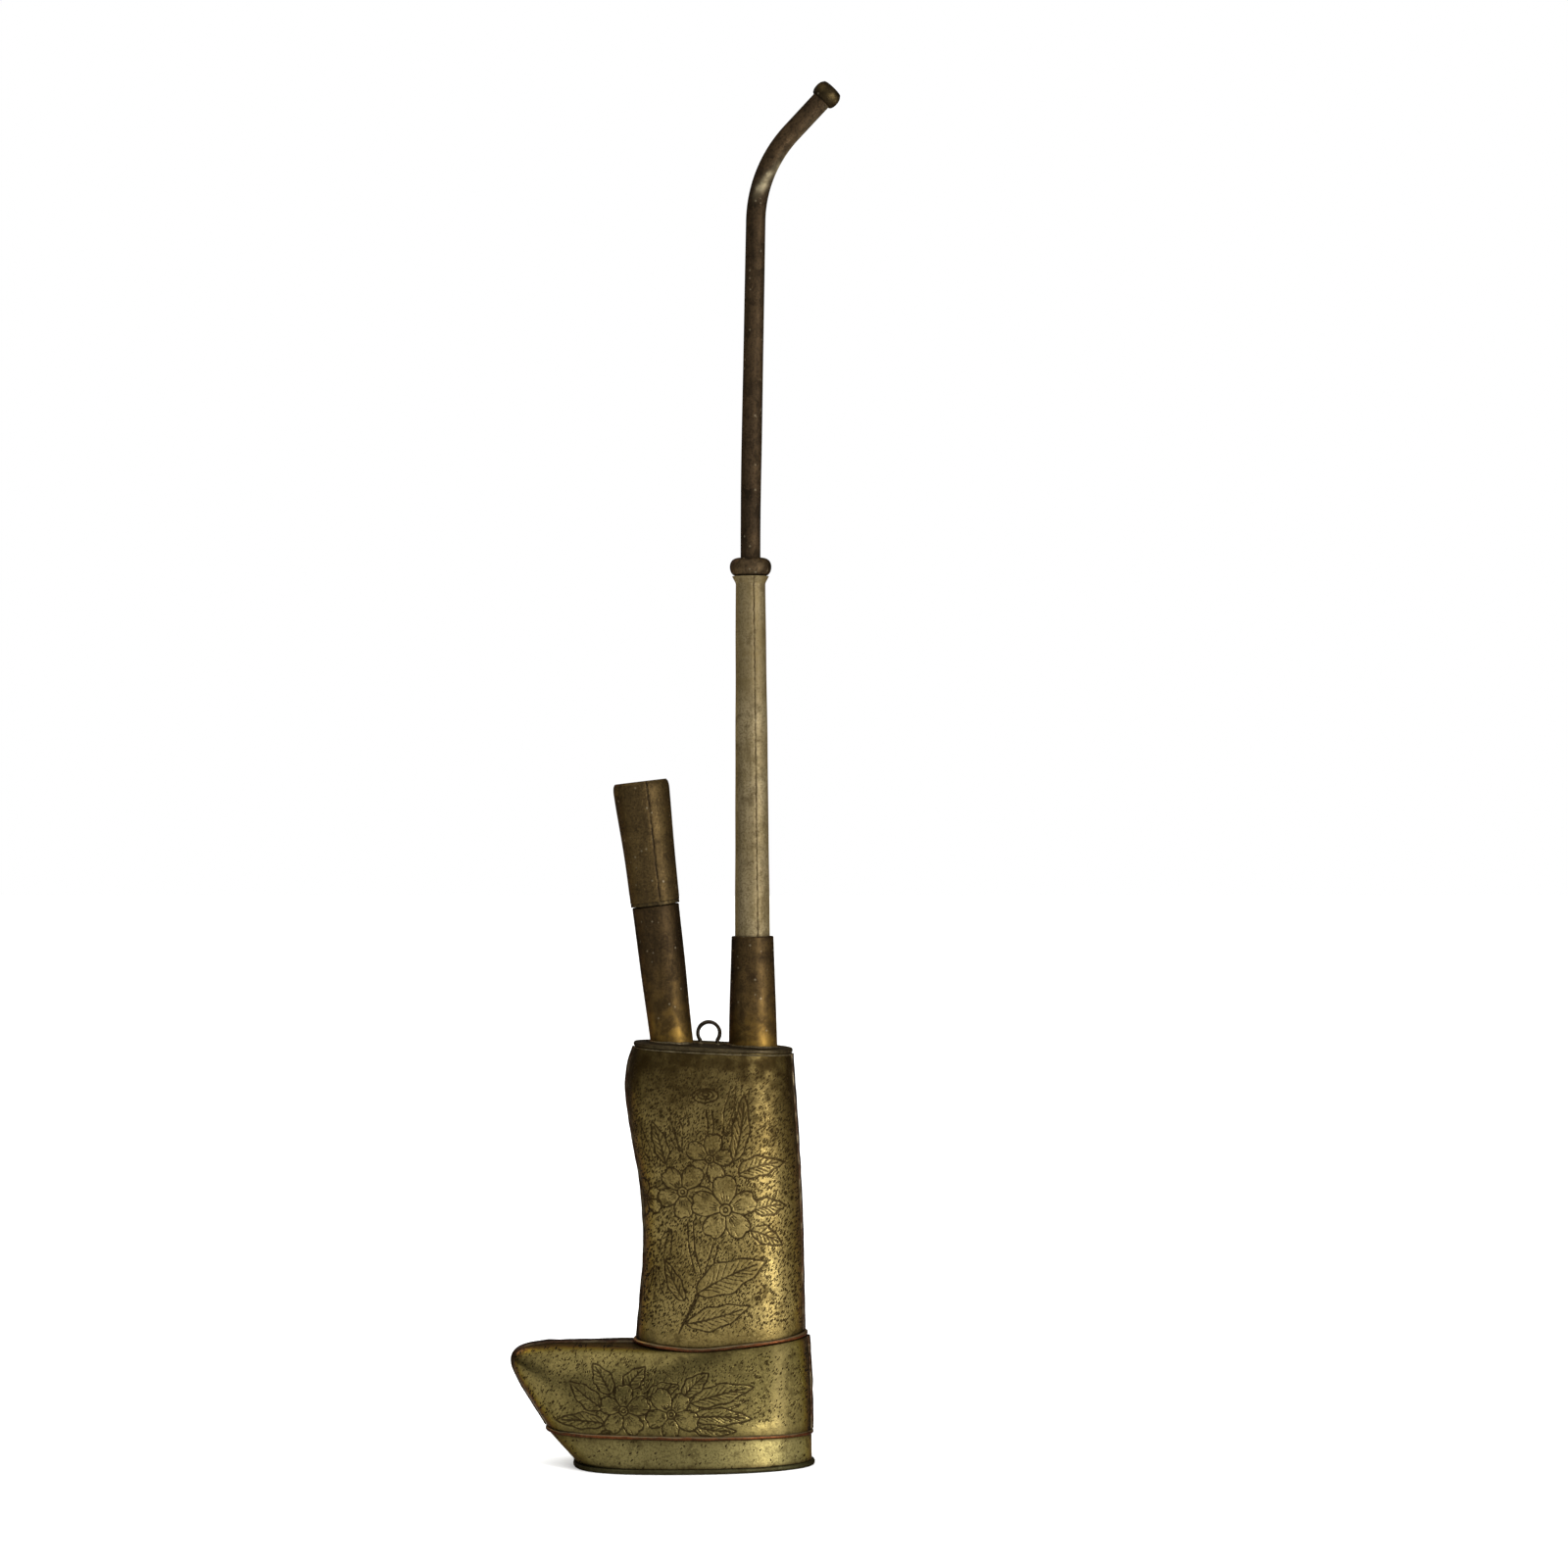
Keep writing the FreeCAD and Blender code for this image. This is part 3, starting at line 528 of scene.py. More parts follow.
def leg_engraving(seed, turn):
    """Open blossoms on a leafy stem, a bud above and long leaves below; the front ones come first."""
    art = Engraving(seed)
    art.blossom(9.9, 50.6, 6.8, turn + 0.35)
    art.blossom(1.6, 54.0, 5.6, turn + 1.0)
    art.blossom(6.8, 60.4, 4.8, turn + 0.1)
    round_bud = np.linspace(0, 2 * math.pi, 24)
    for half_long, half_tall, height in ((2.5, 1.35, 72.6), (1.5, 0.8, 72.75), (0.6, 0.35, 72.8)):
        art.line(np.stack([6.0 + half_long * np.cos(round_bud), height + half_tall * np.sin(round_bud)], -1))
    art.leaf(11.4, 59.8, 13.0, 1.7, 72, 0.16, veins=6)
    art.leaf(12.4, 57.4, 8.8, 2.1, 30, -0.3, veins=6)
    art.leaf(15.4, 50.4, 6.0, 1.8, 24, -0.3)
    art.leaf(14.8, 46.6, 6.6, 1.7, -14, -0.2)
    art.leaf(4.4, 34.4, 14.6, 3.1, 34, -0.16, veins=8)
    art.leaf(2.4, 28.6, 12.6, 2.2, 10, 0.1, veins=7)
    art.leaf(2.0, 33.0, 8.4, 1.4, 124, -0.14)
    art.leaf(-1.8, 59.4, 8.4, 1.4, 100, 0.14)
    for lean in (0.0, 1.1):
        art.line([(6.1 + lean, 69.8), (6.5 + lean, 67.0), (6.2 + lean, 64.0)])
        art.line([(7.4 + lean, 43.8), (6.2 + lean, 39.5), (4.2 + 0.5 * lean, 34.0), (0.8, 26.6)])
        art.line([(2.6 + lean, 48.2), (2.9 + lean, 43.0), (4.0 + lean, 38.6)])
    art.spray(1.4, 61.0, 11.0, 98, 50, 5)
    art.spray(9.4, 64.0, 11.0, 72, 44, 4)
    art.spray(-0.6, 47.4, 8.0, -104, 40, 4)
    art.blossom(-5.6, 52.4, 3.6, turn + 0.6)
    art.leaf(-7.6, 55.2, 6.6, 1.3, 112, 0.14)
    art.leaf(-7.4, 49.6, 6.4, 1.3, -118, -0.14)
    art.spray(-3.2, 58.0, 10.0, 96, 60, 3)
    art.spray(-3.6, 40.0, 8.0, -92, 60, 3)
    return art


def foot_engraving(seed, turn):
    """A pair of five-petalled blossoms with leaves fanned to both sides."""
    art = Engraving(seed)
    art.blossom(-9.7, 12.1, 5.2, turn + 0.3)
    art.blossom(-0.5, 11.5, 5.2, turn + 0.9)
    art.leaf(-12.2, 15.2, 6.6, 1.8, 116, 0.1)
    art.leaf(-9.4, 16.0, 5.8, 1.7, 58, -0.15)
    art.leaf(-5.2, 14.6, 6.6, 1.6, 30, -0.15)
    art.leaf(-13.6, 12.4, 8.2, 1.9, 150, -0.12)
    art.leaf(-13.4, 9.6, 9.4, 1.6, 170, 0.16)
    art.leaf(-12.2, 8.2, 4.6, 0.9, 214, 0.1)
    art.leaf(1.8, 14.8, 6.6, 1.7, 52, -0.15)
    art.leaf(3.2, 13.6, 12.4, 2.0, 19, -0.1, veins=7)
    art.leaf(3.4, 11.0, 11.6, 1.7, 2, -0.1, veins=7)
    art.leaf(3.2, 9.4, 8.8, 1.4, -18, 0.16, veins=5)
    art.spray(4.0, 12.0, 13.0, 14, 56, 6)
    art.spray(-6.0, 15.0, 5.5, 84, 70, 4)
    return art


def rim_distance(points, low, high):
    """How far each point is from a sheet's seams and from its lower and upper rims, in mm."""
    steps = np.linalg.norm(np.diff(points, axis=0), axis=-1)
    along = np.concatenate([np.zeros((1, points.shape[1])), np.cumsum(steps, axis=0)])
    seam = np.minimum(along, along[-1:] - along)
    return seam, points[..., 2] - low, high - points[..., 2]


def sheet_finish(art, seed, top_shade, punched, low_level, high_level, highlight_share=0.0):
    """Cuts the engraving into a side sheet and marks where it is plain, where grime and painted shade darken
    it and where a painted highlight band brightens it.
    """

    def finish(points, normal):
        cut = art.distance(points)
        seam, low, high = rim_distance(points, low_level(points), high_level(points))
        rim = np.minimum(seam, np.minimum(low, high))
        hills = 0.075 * undulation(points, 17, seed) + 0.022 * undulation(points, 5.0, seed + 1)
        groove = CUT_DEPTH * np.exp(-(cut / CUT_HALF_WIDTH) ** 2)
        lift = hills * ease(rim / 3.0) - groove * ease(rim / 0.5)
        plain = np.maximum(art.kept_plain(points), 1 - ease((rim - 1.0) / 2.5))
        punch = punched(points) * (1 - plain)
        # Grime and painted shade: darker for a long way below the top plate, just above the lower rim and
        # beside the seam strips.
        grime = np.exp(-(np.maximum(high, 0) / top_shade) ** 1.5) + 0.7 * np.exp(-np.maximum(low, 0) / 0.9)
        grime += 0.9 * np.exp(-np.maximum(seam - 1.2, 0) / 2.4)
        # Painted highlight: a brighter vertical band at one x, where the key light's reflection runs down the
        # foot.
        rub = highlight_share * np.exp(-((points[..., 0] - HIGHLIGHT_X) / HIGHLIGHT_WIDTH) ** 2)
        values = {"cut": cut, "punch": punch, "grime": np.clip(grime, 0, 1), "rub": rub}
        return points + normal * lift[..., None], values

    return finish


def leg_punched(points):
    x, z = points[..., 0], points[..., 2]
    return 0.42 + 0.5 * ease((z - 24) / 8) * ease((80 - z) / 18) * (1 - 0.25 * ease((x - 8) / 8))


def foot_punched(points):
    return np.full(points.shape[:-1], 0.42)

# ---------------- materials

# Colours are (red, green, blue) screen values; the edge colour, for grazing light, is linear.
# The first colour is a painted golden highlight at the sockets' base, the second a painted highlight band on
# the foot.
GLOW_BRASS, HIGHLIGHT_BRASS, PALE_SPECK = (125, 97, 43), (160, 142, 92), (112, 103, 84)
# The third colour darkens the sheets for grime and painted shade alike.
PUNCH_DARK, CUT_DARK, GRIME_AND_SHADE_DARK = (30, 22, 9), (30, 21, 10), (34, 25, 9)
BRASS_EDGE, NO_EDGE = (0.3, 0.25, 0.17, 1.0), (1.0, 1.0, 1.0, 1.0)


def linear_colour(screen):
    shares = [v / 255 for v in screen]
    return (*(v / 12.92 if v <= 0.04045 else ((v + 0.055) / 1.055) ** 2.4 for v in shares), 1.0)


class Graph:
    """The node tree of a material or world, with short calls for the nodes used here."""

    def __init__(self, owner, coordinates="Object"):
        owner.use_nodes = True
        self.owner = owner
        self.tree = owner.node_tree
        self.tree.nodes.clear()
        self.place = self.node("TexCoord").outputs[coordinates]

    def put(self, socket, value):
        if isinstance(value, bpy.types.NodeSocket):
            self.tree.links.new(value, socket)
        elif value is not None:
            socket.default_value = value

    def node(self, kind, *values, **settings):
        """A new node with these settings, and with the values in its first inputs."""
        node = self.tree.nodes.new("ShaderNode" + kind)
        for key, value in settings.items():
            setattr(node, key, value)
        for socket, value in zip(node.inputs, values):
            self.put(socket, value)
        return node

    def fill(self, node, values):
        for name, value in values.items():
            self.put(node.inputs[name], value)
        return node

    def calc(self, operation, a, b=None):
        return self.node("Math", a, b, operation=operation).outputs[0]

    def plus(self, a, b):
        return self.calc("ADD", a, b)

    def minus(self, a, b):
        return self.calc("SUBTRACT", a, b)

    def times(self, a, b):
        return self.calc("MULTIPLY", a, b)

    def step(self, value, low, high, out_low=0.0, out_high=1.0):
        """Goes smoothly from out_low to out_high as value goes from low to high."""
        values = (value, low, high, out_low, out_high)
        return self.node("MapRange", *values, interpolation_type="SMOOTHSTEP").outputs[0]

    def mix(self, share, a, b):
        """Goes from a to b; each is a node's output or a screen colour."""
        node = self.node("Mix", share, data_type="RGBA")
        for socket, colour in zip(node.inputs[6:8], (a, b)):
            self.put(socket, linear_colour(colour) if isinstance(colour, tuple) else colour)
        return node.outputs[2]

    def noise(self, scale, detail=3.0, stretch=None, warp=0.0):
        vector = self.place
        if stretch:
            vector = self.fill(self.node("Mapping", self.place), {"Scale": stretch}).outputs[0]
        node = self.node("TexNoise", vector)
        return self.fill(node, {"Scale": scale, "Detail": detail, "Distortion": warp}).outputs["Fac"]

    def cells(self, vector, scale, dimensions="3D"):
        """Distance from the nearest cell centre, and that cell's random number."""
        node = self.fill(self.node("TexVoronoi", vector, voronoi_dimensions=dimensions), {"Scale": scale})
        return node.outputs["Distance"], self.node("SeparateColor", node.outputs["Color"]).outputs[0]

    def axes(self):
        return self.node("SeparateXYZ", self.place).outputs

    def attribute(self, name):
        return self.node("Attribute", attribute_name=name).outputs["Fac"]

    def finish(self, colour, roughness, metallic, height, depth, edge=BRASS_EDGE):
        """Ends in a Principled shader whose bump has the given depth in mm; edge tints grazing light."""
        bump = self.fill(self.node("Bump"), {"Strength": 1.0, "Distance": depth * MM, "Height": height})
        shader = self.fill(self.node("BsdfPrincipled"), {
            "Base Color": colour, "Roughness": roughness, "Metallic": metallic, "Specular Tint": edge,
            "Normal": bump.outputs[0],
        })
        self.node("OutputMaterial", shader.outputs[0])
        return self.owner


def aged_metal(g, light, middle, dark, blotch=70, grain=2600):
    """Patina of three colours at blotch, mottle and grain size; returns colour, mottle and grain."""
    large = g.noise(blotch, 5, warp=0.6)
    mottle = g.noise(430, 5, warp=0.3)
    fine = g.noise(grain, 2)
    colour = g.mix(g.step(large, 0.36, 0.62), middle, light)
    colour = g.mix(g.step(mottle, 0.5, 0.72, 0, 0.7), colour, dark)
    colour = g.mix(g.step(fine, 0.47, 0.62, 0, 0.55), colour, dark)
    colour = g.mix(g.step(g.noise(grain * 0.7, 2), 0.56, 0.68, 0, 0.8), colour, light)
    return colour, mottle, fine


def engraved_brass(name, light, middle, dark, punch_size, roughness=(0.36, 0.52)):
    """Sheet brass with slanting punch marks, cuts, grime and painted shade under the rims and a painted
    highlight band.
    """
    g = Graph(bpy.data.materials.new(name))
    colour, mottle, fine = aged_metal(g, light, middle, dark)
    x, _, z = g.axes()
    across = g.plus(g.minus(x, g.times(z, 0.45)), g.times(g.noise(900, 2), 0.0009))
    flat = g.node("CombineXYZ", g.times(across, 1.9), z, 0.0).outputs[0]
    distance, chance = g.cells(flat, 1000 / punch_size, "2D")
    shown = g.calc("LESS_THAN", chance, g.attribute("punch"))
    size = g.step(g.noise(800, 2), 0.35, 0.65, 0.26, 0.46)
    punch = g.times(g.step(g.calc("DIVIDE", distance, size), 0.65, 1.1, 1, 0), shown)
    ragged = g.plus(g.attribute("cut"), g.step(g.noise(1500, 2), 0.3, 0.7, -0.03, 0.07))
    cut = g.step(ragged, 0.12, 0.25, 1, 0)
    # Grime and painted shade, broken up by the mottle.
    grime = g.times(g.attribute("grime"), g.step(mottle, 0.25, 0.6, 0.75, 1.0))
    # Painted highlight: the foot's bright band, lighter in colour and a little smoother.
    rub = g.times(g.attribute("rub"), g.step(mottle, 0.62, 0.4, 0.5, 1.0))
    colour = g.mix(rub, colour, HIGHLIGHT_BRASS)
    colour = g.mix(g.times(punch, 0.92), colour, PUNCH_DARK)
    colour = g.mix(g.times(cut, 0.86), colour, CUT_DARK)
    colour = g.mix(g.times(grime, 0.97), colour, GRIME_AND_SHADE_DARK)
    rough = g.plus(g.step(mottle, 0.3, 0.7, *roughness), g.times(grime, 0.12))
    rough = g.minus(rough, g.times(rub, 0.04))
    height = g.plus(g.times(fine, 0.35), g.times(mottle, 0.5))
    height = g.minus(height, g.times(g.calc("MAXIMUM", punch, cut), 0.8))
    return g.finish(colour, rough, 0.96, height, 0.05)


def drawn_tube(name, light, middle, dark, roughness=(0.46, 0.64), wear_and_glow=GLOW_BRASS, seam_dark=None):
    """Tube metal with faint lengthwise streaks, specks and a soldered seam line."""
    g = Graph(bpy.data.materials.new(name))
    colour, mottle, fine = aged_metal(g, light, middle, dark, blotch=110)
    streak = g.noise(260, 3, stretch=(4, 4, 0.35))
    colour = g.mix(g.step(streak, 0.5, 0.7, 0, 0.4), colour, dark)
    distance, chance = g.cells(g.place, 900)
    speck = g.times(g.step(distance, 0.12, 0.26, 1, 0), g.calc("LESS_THAN", chance, 0.15))
    colour = g.mix(g.times(speck, 0.45), colour, PALE_SPECK)
    # Wear and, on the sockets, a painted golden highlight at the base, laid in by the wear attribute.
    colour = g.mix(g.times(g.attribute("wear_and_glow"), g.step(mottle, 0.6, 0.35, 0.3, 0.9)), colour, wear_and_glow)
    height = g.plus(g.times(fine, 0.4), g.times(streak, 0.4))
    if seam_dark:
        jagged = g.plus(g.attribute("seam"), g.step(g.noise(1300, 2), 0.3, 0.7, -0.08, 0.08))
        line = g.step(g.calc("ABSOLUTE", jagged), 0.08, 0.22, 1, 0)
        colour = g.mix(g.times(line, g.step(g.noise(700, 2), 0.35, 0.6, 0.35, 0.9)), colour, seam_dark)
        height = g.minus(height, g.times(line, 0.6))
    return g.finish(colour, g.step(mottle, 0.3, 0.7, *roughness), 0.96, height, 0.035)


def oxidised_wire(name, light, middle, dark, solder, share):
    """Copper wire or strip with solder left along its upper side."""
    g = Graph(bpy.data.materials.new(name))
    colour, mottle, fine = aged_metal(g, light, middle, dark, blotch=150)
    ragged = g.plus(g.attribute("around"), g.step(g.noise(420, 3), 0.3, 0.7, -0.22, 0.22))
    colour = g.mix(g.step(ragged, share, share + 0.3, 0, 0.75), colour, solder)
    height = g.plus(g.times(fine, 0.4), g.times(mottle, 0.6))
    return g.finish(colour, g.step(mottle, 0.3, 0.7, 0.36, 0.55), 0.92, height, 0.04)


# For each slot and maker: a material's name, its light, middle and dark colours, and other values.
LOOKS = {}
for slot, maker, rows in (
    ("engraved_brass", engraved_brass, (
        ("leg_brass", (118, 103, 62), (93, 79, 44), (50, 40, 18), 0.78),
        ("foot_brass", (97, 86, 50), (82, 73, 41), (51, 43, 22), 0.7, (0.26, 0.36)),
        ("sole_brass", (103, 94, 58), (88, 79, 47), (57, 49, 27), 0.8, (0.33, 0.46)),
        ("lip_brass", (66, 66, 44), (52, 52, 34), (32, 31, 20), 1.0),
    )),
    ("tube_brass", drawn_tube, (
        ("plate_brass", (58, 50, 34), (45, 38, 26), (28, 23, 15)),
        ("socket_brass", (54, 42, 25), (40, 31, 19), (24, 18, 11), (0.5, 0.6)),
        ("rear_brass", (59, 46, 27), (44, 34, 20), (26, 19, 12), (0.5, 0.6)),
        ("sleeve_brass", (68, 55, 32), (54, 43, 25), (34, 26, 15), (0.52, 0.6), GLOW_BRASS, (18, 13, 9)),
        ("inner_brass", (66, 55, 33), (48, 39, 24), (24, 20, 14)),
        ("solder_brass", (90, 81, 62), (66, 58, 42), (36, 30, 20)),
    )),
    ("nickel_silver", drawn_tube, (
        ("nickel_silver", (116, 104, 78), (100, 88, 62), (73, 62, 41), (0.6, 0.7), (84, 72, 46),
         (52, 42, 27)),
    )),
    ("dark_copper", drawn_tube, (
        ("stem_copper", (57, 45, 31), (42, 33, 23), (24, 19, 13), (0.6, 0.74), (128, 118, 94)),
        ("collar_copper", (64, 52, 36), (48, 38, 27), (28, 22, 15)),
        ("mouth_copper", (42, 34, 20), (32, 25, 15), (19, 15, 9), (0.46, 0.64), (66, 55, 33)),
    )),
    ("dark_copper", oxidised_wire, (
        ("dark_wire", (44, 37, 29), (32, 27, 21), (18, 15, 12), (60, 54, 44), 2.0),
    )),
    ("red_copper", oxidised_wire, (
        ("seam_copper", (84, 47, 25), (62, 37, 21), (33, 22, 14), (84, 75, 54), 0.25),
        ("strip_copper", (46, 31, 20), (34, 23, 15), (20, 15, 10), (66, 58, 43), 0.6),
    )),
):
    for name, *values in rows:
        LOOKS[name] = (maker(name, *values), slot)


# ---------------- the boot

def foot_low(points):
    return welt_plane(points[..., 0]) + WELT_THICK


def foot_high(points):
    """The foot has its dark upper rim of grime and painted shade only along the topline, so the instep counts
    as far from it.
    """
    return smooth_line(TOPLINE, np.maximum(points[..., 0], -9)) + 0.6 * np.maximum(0, -8 - points[..., 0])


def leg_low(points):
    return smooth_line(TOPLINE, points[..., 0]) + BEAD_RADIUS


def leg_top(points):
    return top_plane(points[..., 0]) - TOP_PLATE


for side, mirror, seed, turn in (("left", False, 11, 0.0), ("right", True, 23, 0.6)):
    finish = sheet_finish(leg_engraving(seed, turn), seed, LEG_SHADE, leg_punched, leg_low, leg_top)
    half_panel(f"{side}_leg_sheet", leg_face, LEG_GRID, mirror, finish, "leg_brass", f"leg_{side}_panel")
    finish = sheet_finish(
        foot_engraving(seed + 5, turn), seed + 40, FOOT_SHADE, foot_punched, foot_low, foot_high, FOOT_HIGHLIGHT)
    half_panel(f"{side}_foot_sheet", foot_face, FOOT_GRID, mirror, finish, "foot_brass", f"foot_{side}_panel")


def seam_strip(place, face, seam, rises, half_depth, squareness, seed):
    """A domed strip that follows a seam and wraps a little onto the sheet at each side."""
    across = np.linspace(-1, 1, 19)
    width = STRIP_HALF_WIDTH * (1 + 0.06 * undulation(np.stack([rises * 50] * 3, -1), 6, seed))
    s = np.clip(across[None] * width[:, None] / half_depth, -0.9, 0.9)
    c = (1 - abs(s) ** squareness) ** (1 / squareness)
    at_heel = seam == 0
    angle = np.arctan2(s, c) if at_heel else math.pi - np.arctan2(s, c)
    rise = rises[:, None] + 0 * angle
    base = face(angle, rise)
    normal = normals_at(face, angle, rise)
    dome = STRIP_PROUD * (1 - abs(across) ** 5) ** 0.6
    dome = dome[None] * (1 + 0.12 * undulation(base, 4, seed + 1))
    top = base + normal * (dome + 0.02)[..., None]
    under = (base - normal * STRIP_SUNK)[:, ::-1]
    loop = np.concatenate([top, under], axis=1)
    count, columns = loop.shape[:2]
    faces = grid_faces(count, columns, close_columns=True, flip=at_heel)
    ends = [list(range(columns)), [(count - 1) * columns + k for k in range(columns)][::-1]]
    faces += [e if at_heel else e[::-1] for e in ends]
    edge = np.tile(abs(across), 2 * count)
    new_piece(f"{place}_strip", loop.reshape(-1, 3), faces, {"around": edge - 0.25}, "strip_copper",
              f"{place}_seam_strip")


for place, face, seam, low, high, count, half_depth, squareness, seed in (
    ("shin", leg_face, math.pi, 0.035, 0.995, 160, 11.0, LEG_SQUARENESS, 31),
    ("calf", leg_face, 0, 0.035, 0.995, 160, 11.0, LEG_SQUARENESS, 32),
    ("instep", foot_face, math.pi, 0.01, 0.985, 130, 12.6, 2.5, 33),
    ("heel", foot_face, 0, 0.01, 0.985, 60, 12.8, HEEL_SQUARENESS, 34),
):
    seam_strip(place, face, seam, np.linspace(low, high, count), half_depth, squareness, seed)


def topline_path(angle):
    x, y = leg_outline(angle, LEG_LOW + LEG_LAP, 0.42)
    points = np.stack([x, y, smooth_line(TOPLINE, x) + 0.06], -1)
    points[:, 2] += 0.06 * undulation(points, 9, 51)
    return points


def welt_path(angle):
    x, y = sole_outline(angle, WELT_TOE, WELT_HEEL, WELT_HALF_DEPTH, 0.02)
    points = np.stack([x, y, welt_plane(x) + 0.34], -1)
    points[:, 2] += 0.05 * undulation(points, 8, 52)
    return points


for name, path, radius, node in (
    ("topline_wire", topline_path, TOPLINE_WIRE, "topline_bead"),
    ("welt_wire", welt_path, WELT_WIRE, "welt_strip"),
):
    centre = path(circle(300))
    thickness = radius * (1 + 0.07 * undulation(centre, 5, 53))
    swept(name, centre, thickness, 24, "seam_copper", node, closed=True)


def sole_wall(count, seed):
    """The wall round the sole: a closed loop of (rise, outward) places carried round the sole's face."""
    profile = [(r, 0.0) for r in np.linspace(0, 1, 22)] + [(r, -SHEET) for r in np.linspace(1, 0, 8)]
    turn = circle(count)[:, None]
    rise, out = np.array(profile).T
    outside = out > -SHEET / 2
    angle, rise = turn + 0 * rise, rise + 0 * turn
    base = sole_face(angle, rise)
    dents = 0.05 * undulation(base, 15, seed) + 0.015 * undulation(base, 4, seed)
    points = base + normals_at(sole_face, angle, rise) * (out + dents * outside)[..., None]
    faces = grid_faces(count, len(profile), close_rows=True, close_columns=True)
    # Grime and painted shade: darker at the wall's foot and under the welt, and dark all over on the inner
    # face.
    low = np.where(outside, np.minimum(rise, 1 - rise) * 5.5, 0)
    values = {"cut": 1 + 0 * low, "punch": 0.1 + 0 * low, "grime": np.exp(-low / 0.5)}
    new_piece("sole_wall", points.reshape(-1, 3), faces, values, "sole_brass", "sole_band")


sole_wall(420, 61)


def flat_plate(name, outline, level, profile, count, look, node):
    """A plate over an outline, its rounded edge given as (outward, height) points from low to high."""
    angle = circle(count)
    rings = []
    for grow, height in profile:
        x, y = outline(angle, grow)
        rings.append(np.stack([x, y, level(x) + height], -1))
    points = np.stack(rings, 1).reshape(-1, 3)
    columns = len(profile)
    faces = grid_faces(count, columns, close_rows=True)
    faces.append([i * columns for i in range(count)][::-1])
    faces.append([i * columns + columns - 1 for i in range(count)])
    same = {"cut": 1.0, "punch": 0.0, "grime": 0.6, "seam": FAR_FROM_SEAM}
    values = {key: np.full(len(points), value) for key, value in same.items()}
    return new_piece(name, points, faces, values, look, node)


def rounded_edge(thick, inward, radius, outward):
    """The edge profile of a plate from its underside to its upper side."""
    turns = np.linspace(-math.pi / 2, 0, 5)
    low = [(outward - radius + radius * math.cos(t), radius + radius * math.sin(t)) for t in turns]
    high = [(g, thick - h) for g, h in reversed(low)]
    return [(outward - inward, 0)] + low + high + [(outward - inward, thick)]


flat_plate(
    "sole_base", lambda a, grow: sole_outline(a, SOLE_TOE_LOW, SOLE_HEEL, SOLE_HALF_DEPTH_LOW, grow),
    lambda x: 0 * x, rounded_edge(SOLE_PLATE, 1.5, 0.4, SOLE_LIP), 360, "lip_brass", "sole_plate")
lid = flat_plate(
    "leg_lid", lambda a, grow: leg_outline(a, LEG_HIGH, grow),
    lambda x: top_plane(x) - TOP_PLATE, rounded_edge(TOP_PLATE, 1.5, 0.25, TOP_OVERHANG), 300, "plate_brass",
    "leg_top_plate")


def drilled(piece, holes):
    """Cuts round holes, each (matrix, radius), through a plate."""
    cutters = []
    for matrix, radius in holes:
        bpy.ops.mesh.primitive_cylinder_add(vertices=72, radius=radius * MM, depth=20 * MM)
        cutter = bpy.context.object
        cutter.matrix_world = Matrix.Scale(MM, 4) @ matrix @ Matrix.Scale(1 / MM, 4)
        modifier = piece.modifiers.new("hole", "BOOLEAN")
        modifier.object = cutter
        modifier.solver = "EXACT"
        cutters.append(cutter)
    shape = bpy.data.meshes.new_from_object(piece.evaluated_get(bpy.context.evaluated_depsgraph_get()))
    piece.modifiers.clear()
    piece.data = shape
    for cutter in cutters:
        bpy.data.objects.remove(cutter)


drilled(lid, [(BOWL_AXIS, BOWL_HOLE), (STEM_FOOT, STEM_HOLE)])


# ---------------- sockets, bowl and stem

def base_glow(amount, level):
    """Painted highlight: a golden glow that fades upward from a level."""
    return lambda height: amount * np.exp(-np.maximum(height - level, 0) / 5.0)


# On both sockets the wear attribute is a painted highlight, a golden glow at the base that fades upward.
turned("front_socket", BOWL_SOCKET, BOWL_AXIS, "socket_brass", "bowl_socket", seed=71, wear_and_glow=base_glow(0.8, 0))
turned("rear_socket", STEM_SOCKET, STEM_AXIS, "rear_brass", "stem_socket", seed=72, wear_and_glow=base_glow(0.7, 81.8))
turned("bowl_tube", BOWL_SLEEVE, BOWL_AXIS, "sleeve_brass", "bowl_sleeve", "bowl",
       segments=176, step=0.6, wobble=0.1, seed=73, seam=lambda height: math.radians(-76) + 0 * height)
turned("lower_stem", LOWER_TUBE, STEM_AXIS, "nickel_silver", "stem_lower_tube", "stem_lower",
       step=1.2, wobble=0.03, seed=74,
       seam=lambda height: math.radians(-75) - 0.0016 * (height - 135),
       wear_and_glow=lambda height: 0.8 * ease((height - 146) / 6))

BORE_R, COLLAR_END_R, COLLAR_TAPER = 2.03, 2.3, 0.3
ball = [(BORE_R, COLLAR_LOW, 0)]
for t in np.linspace(-math.pi / 2, math.pi / 2, 25):
    end = COLLAR_TAPER * math.sin(t)
    bulge = (COLLAR_R - COLLAR_END_R + end) * max(0, math.cos(t)) ** 0.75
    level = (COLLAR_LOW + COLLAR_TOP) / 2 + (COLLAR_TOP - COLLAR_LOW) / 2 * math.sin(t)
    ball.append((COLLAR_END_R - end + bulge, level, 0))
ball.append((BORE_R, COLLAR_TOP, 0))
turned("ball_collar", ball, STEM_AXIS, "collar_copper", "stem_collar", "stem_upper", seed=75, step=0.5)


